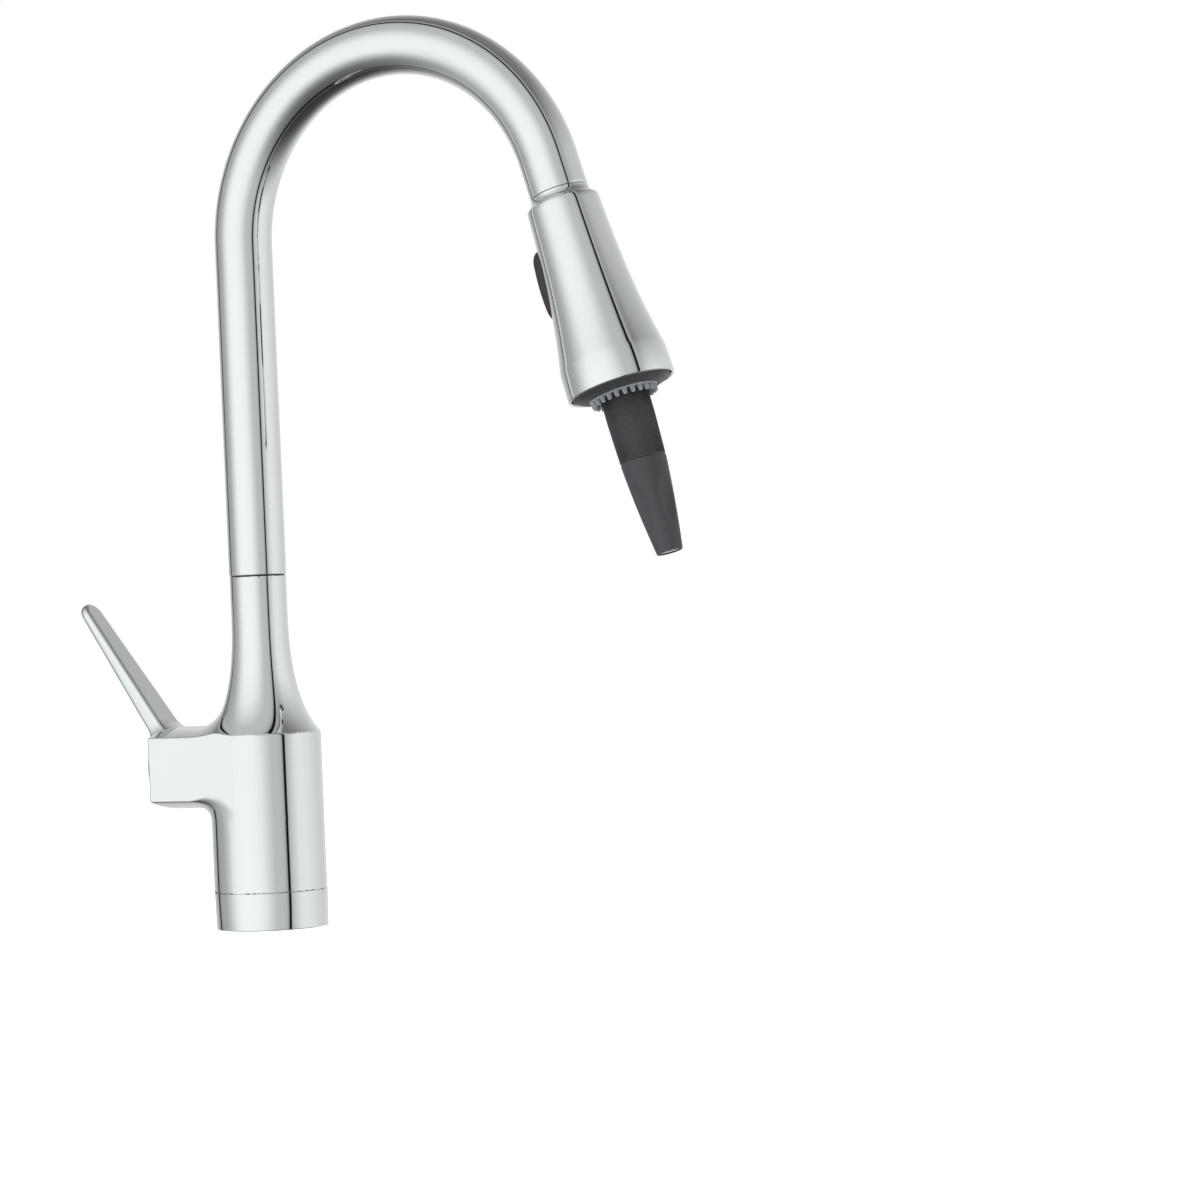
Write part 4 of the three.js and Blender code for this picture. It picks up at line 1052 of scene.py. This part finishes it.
def make_world():
    world = bpy.data.worlds.new("tent")
    bpy.context.scene.world = world
    world.use_nodes = True
    tree = world.node_tree
    tree.nodes.clear()
    way = put(tree, "ShaderNodeTexCoord").outputs["Generated"]
    side = put(tree, "ShaderNodeVectorMath", {"operation": "DOT_PRODUCT"}, i0=way, i1=tuple(BRIGHT_SIDE))
    spot = put(tree, "ShaderNodeMapRange", Value=side.outputs["Value"], i1=-1.0, i2=1.0)
    ramp = put(tree, "ShaderNodeValToRGB", Fac=spot.outputs[0])
    stops = [
        (-1.0, "D3D4D4"), (-0.97, "D8D9D9"), (-0.81, "E4E5E5"), (-0.6, "EBECEC"), (-0.37, "E9EAEA"),
        (-0.13, "CFD0D0"), (0.01, "B4B5B5"), (0.035, "050505"), (0.1, "050505"), (0.13, "959797"),
        (0.2, "B9BBBB"), (0.326, "C0C2C2"), (0.52, "C3C5C5"), (0.69, "DBDDDD"), (0.835, "F1F4F4"),
        (0.936, "FAFCFC"), (1.0, "FDFFFF"),
    ]
    elements = ramp.color_ramp.elements
    while len(elements) > 1:
        elements.remove(elements[-1])
    elements[0].position = 0
    elements[0].color = hexcolour(stops[0][1])
    for where, code in stops[1:]:
        elements.new((where + 1) / 2).color = hexcolour(code)
    height = put(tree, "ShaderNodeSeparateXYZ", Vector=way).outputs["Z"]
    dusk = put(tree, "ShaderNodeVectorMath", {"operation": "DOT_PRODUCT"}, i0=way, i1=tuple(DUSK_SIDE))
    shades = [
        put(tree, "ShaderNodeMapRange", Value=dusk.outputs["Value"], i1=0.4, i2=1.0, i3=1.0, i4=0.7),
        put(tree, "ShaderNodeMapRange", {"interpolation_type": "SMOOTHSTEP"}, Value=height, i1=-1.0,
            i2=-0.3, i3=0.22, i4=1.0),
    ]
    steep = put(tree, "ShaderNodeMath", {"operation": "ABSOLUTE"}, i0=height)
    behind = put(tree, "ShaderNodeMapRange", Value=side.outputs["Value"], i1=-0.12, i2=0.03, i3=1.0, i4=0.0)
    raised = put(tree, "ShaderNodeMapRange", Value=steep.outputs[0], i1=0.25, i2=0.85, i3=0.0, i4=0.75)
    both_ways = put(tree, "ShaderNodeMath", {"operation": "MULTIPLY"}, i0=behind.outputs[0],
                    i1=raised.outputs[0])
    shades.append(put(tree, "ShaderNodeMath", {"operation": "SUBTRACT"}, i0=1.0, i1=both_ways.outputs[0]))
    strength = shades[0]
    for shade in shades[1:]:
        strength = put(tree, "ShaderNodeMath", {"operation": "MULTIPLY"}, i0=strength.outputs[0],
                       i1=shade.outputs[0])
    path = put(tree, "ShaderNodeLightPath")
    tent = put(tree, "ShaderNodeBackground", Color=ramp.outputs[0], Strength=strength.outputs[0])
    wall = put(tree, "ShaderNodeBackground", Color=hexcolour("FFFFFF"), Strength=1.0)
    both = put(tree, "ShaderNodeMixShader", i0=path.outputs["Is Camera Ray"], i1=tent.outputs[0],
               i2=wall.outputs[0])
    put(tree, "ShaderNodeOutputWorld", Surface=both.outputs[0])


make_world()
bpy.context.scene.view_settings.view_transform = "Standard"
print("bright side towards", tuple(BRIGHT_SIDE))


# %% Floor and lamp
def make_floor():
    material, tree, shader = new_material("pale_floor")
    grain = put(tree, "ShaderNodeTexNoise", Vector=object_pattern(tree, 400), Scale=1.0, Detail=2.0)
    colour = put(tree, "ShaderNodeMix", {"data_type": "RGBA"}, Factor=grain.outputs[0],
                 i6=hexcolour("F4F5F5"), i7=hexcolour("F8F9F9"))
    tree.links.new(colour.outputs[2], shader.inputs["Base Color"])
    shader.inputs["Roughness"].default_value = 0.9
    shader.inputs["Emission Color"].default_value = hexcolour("FFFFFF")
    shader.inputs["Emission Strength"].default_value = 0.62
    half = 30.0
    mesh = bpy.data.meshes.new("floor")
    corners = [(-half, -half, 0), (half, -half, 0), (half, half, 0), (-half, half, 0)]
    mesh.from_pydata(corners, [], [(0, 1, 2, 3)])
    mesh.materials.append(material)
    floor = bpy.data.objects.new("floor", mesh)
    bpy.context.scene.collection.objects.link(floor)
    floor.visible_glossy = False


def make_lamp():
    data = bpy.data.lights.new("overhead", "AREA")
    data.shape = "DISK"
    data.size = 3.0
    data.energy = 60
    lamp = bpy.data.objects.new("overhead", data)
    bpy.context.scene.collection.objects.link(lamp)
    lamp.location = (-0.6, -0.8, 2.6)
    lamp.rotation_euler = (Vector((0, 0, 0.2)) - lamp.location).to_track_quat("-Z", "Y").to_euler()
    lamp.visible_glossy = False
    lamp.visible_camera = False


make_floor()
make_lamp()
print("floor and lamp ready")
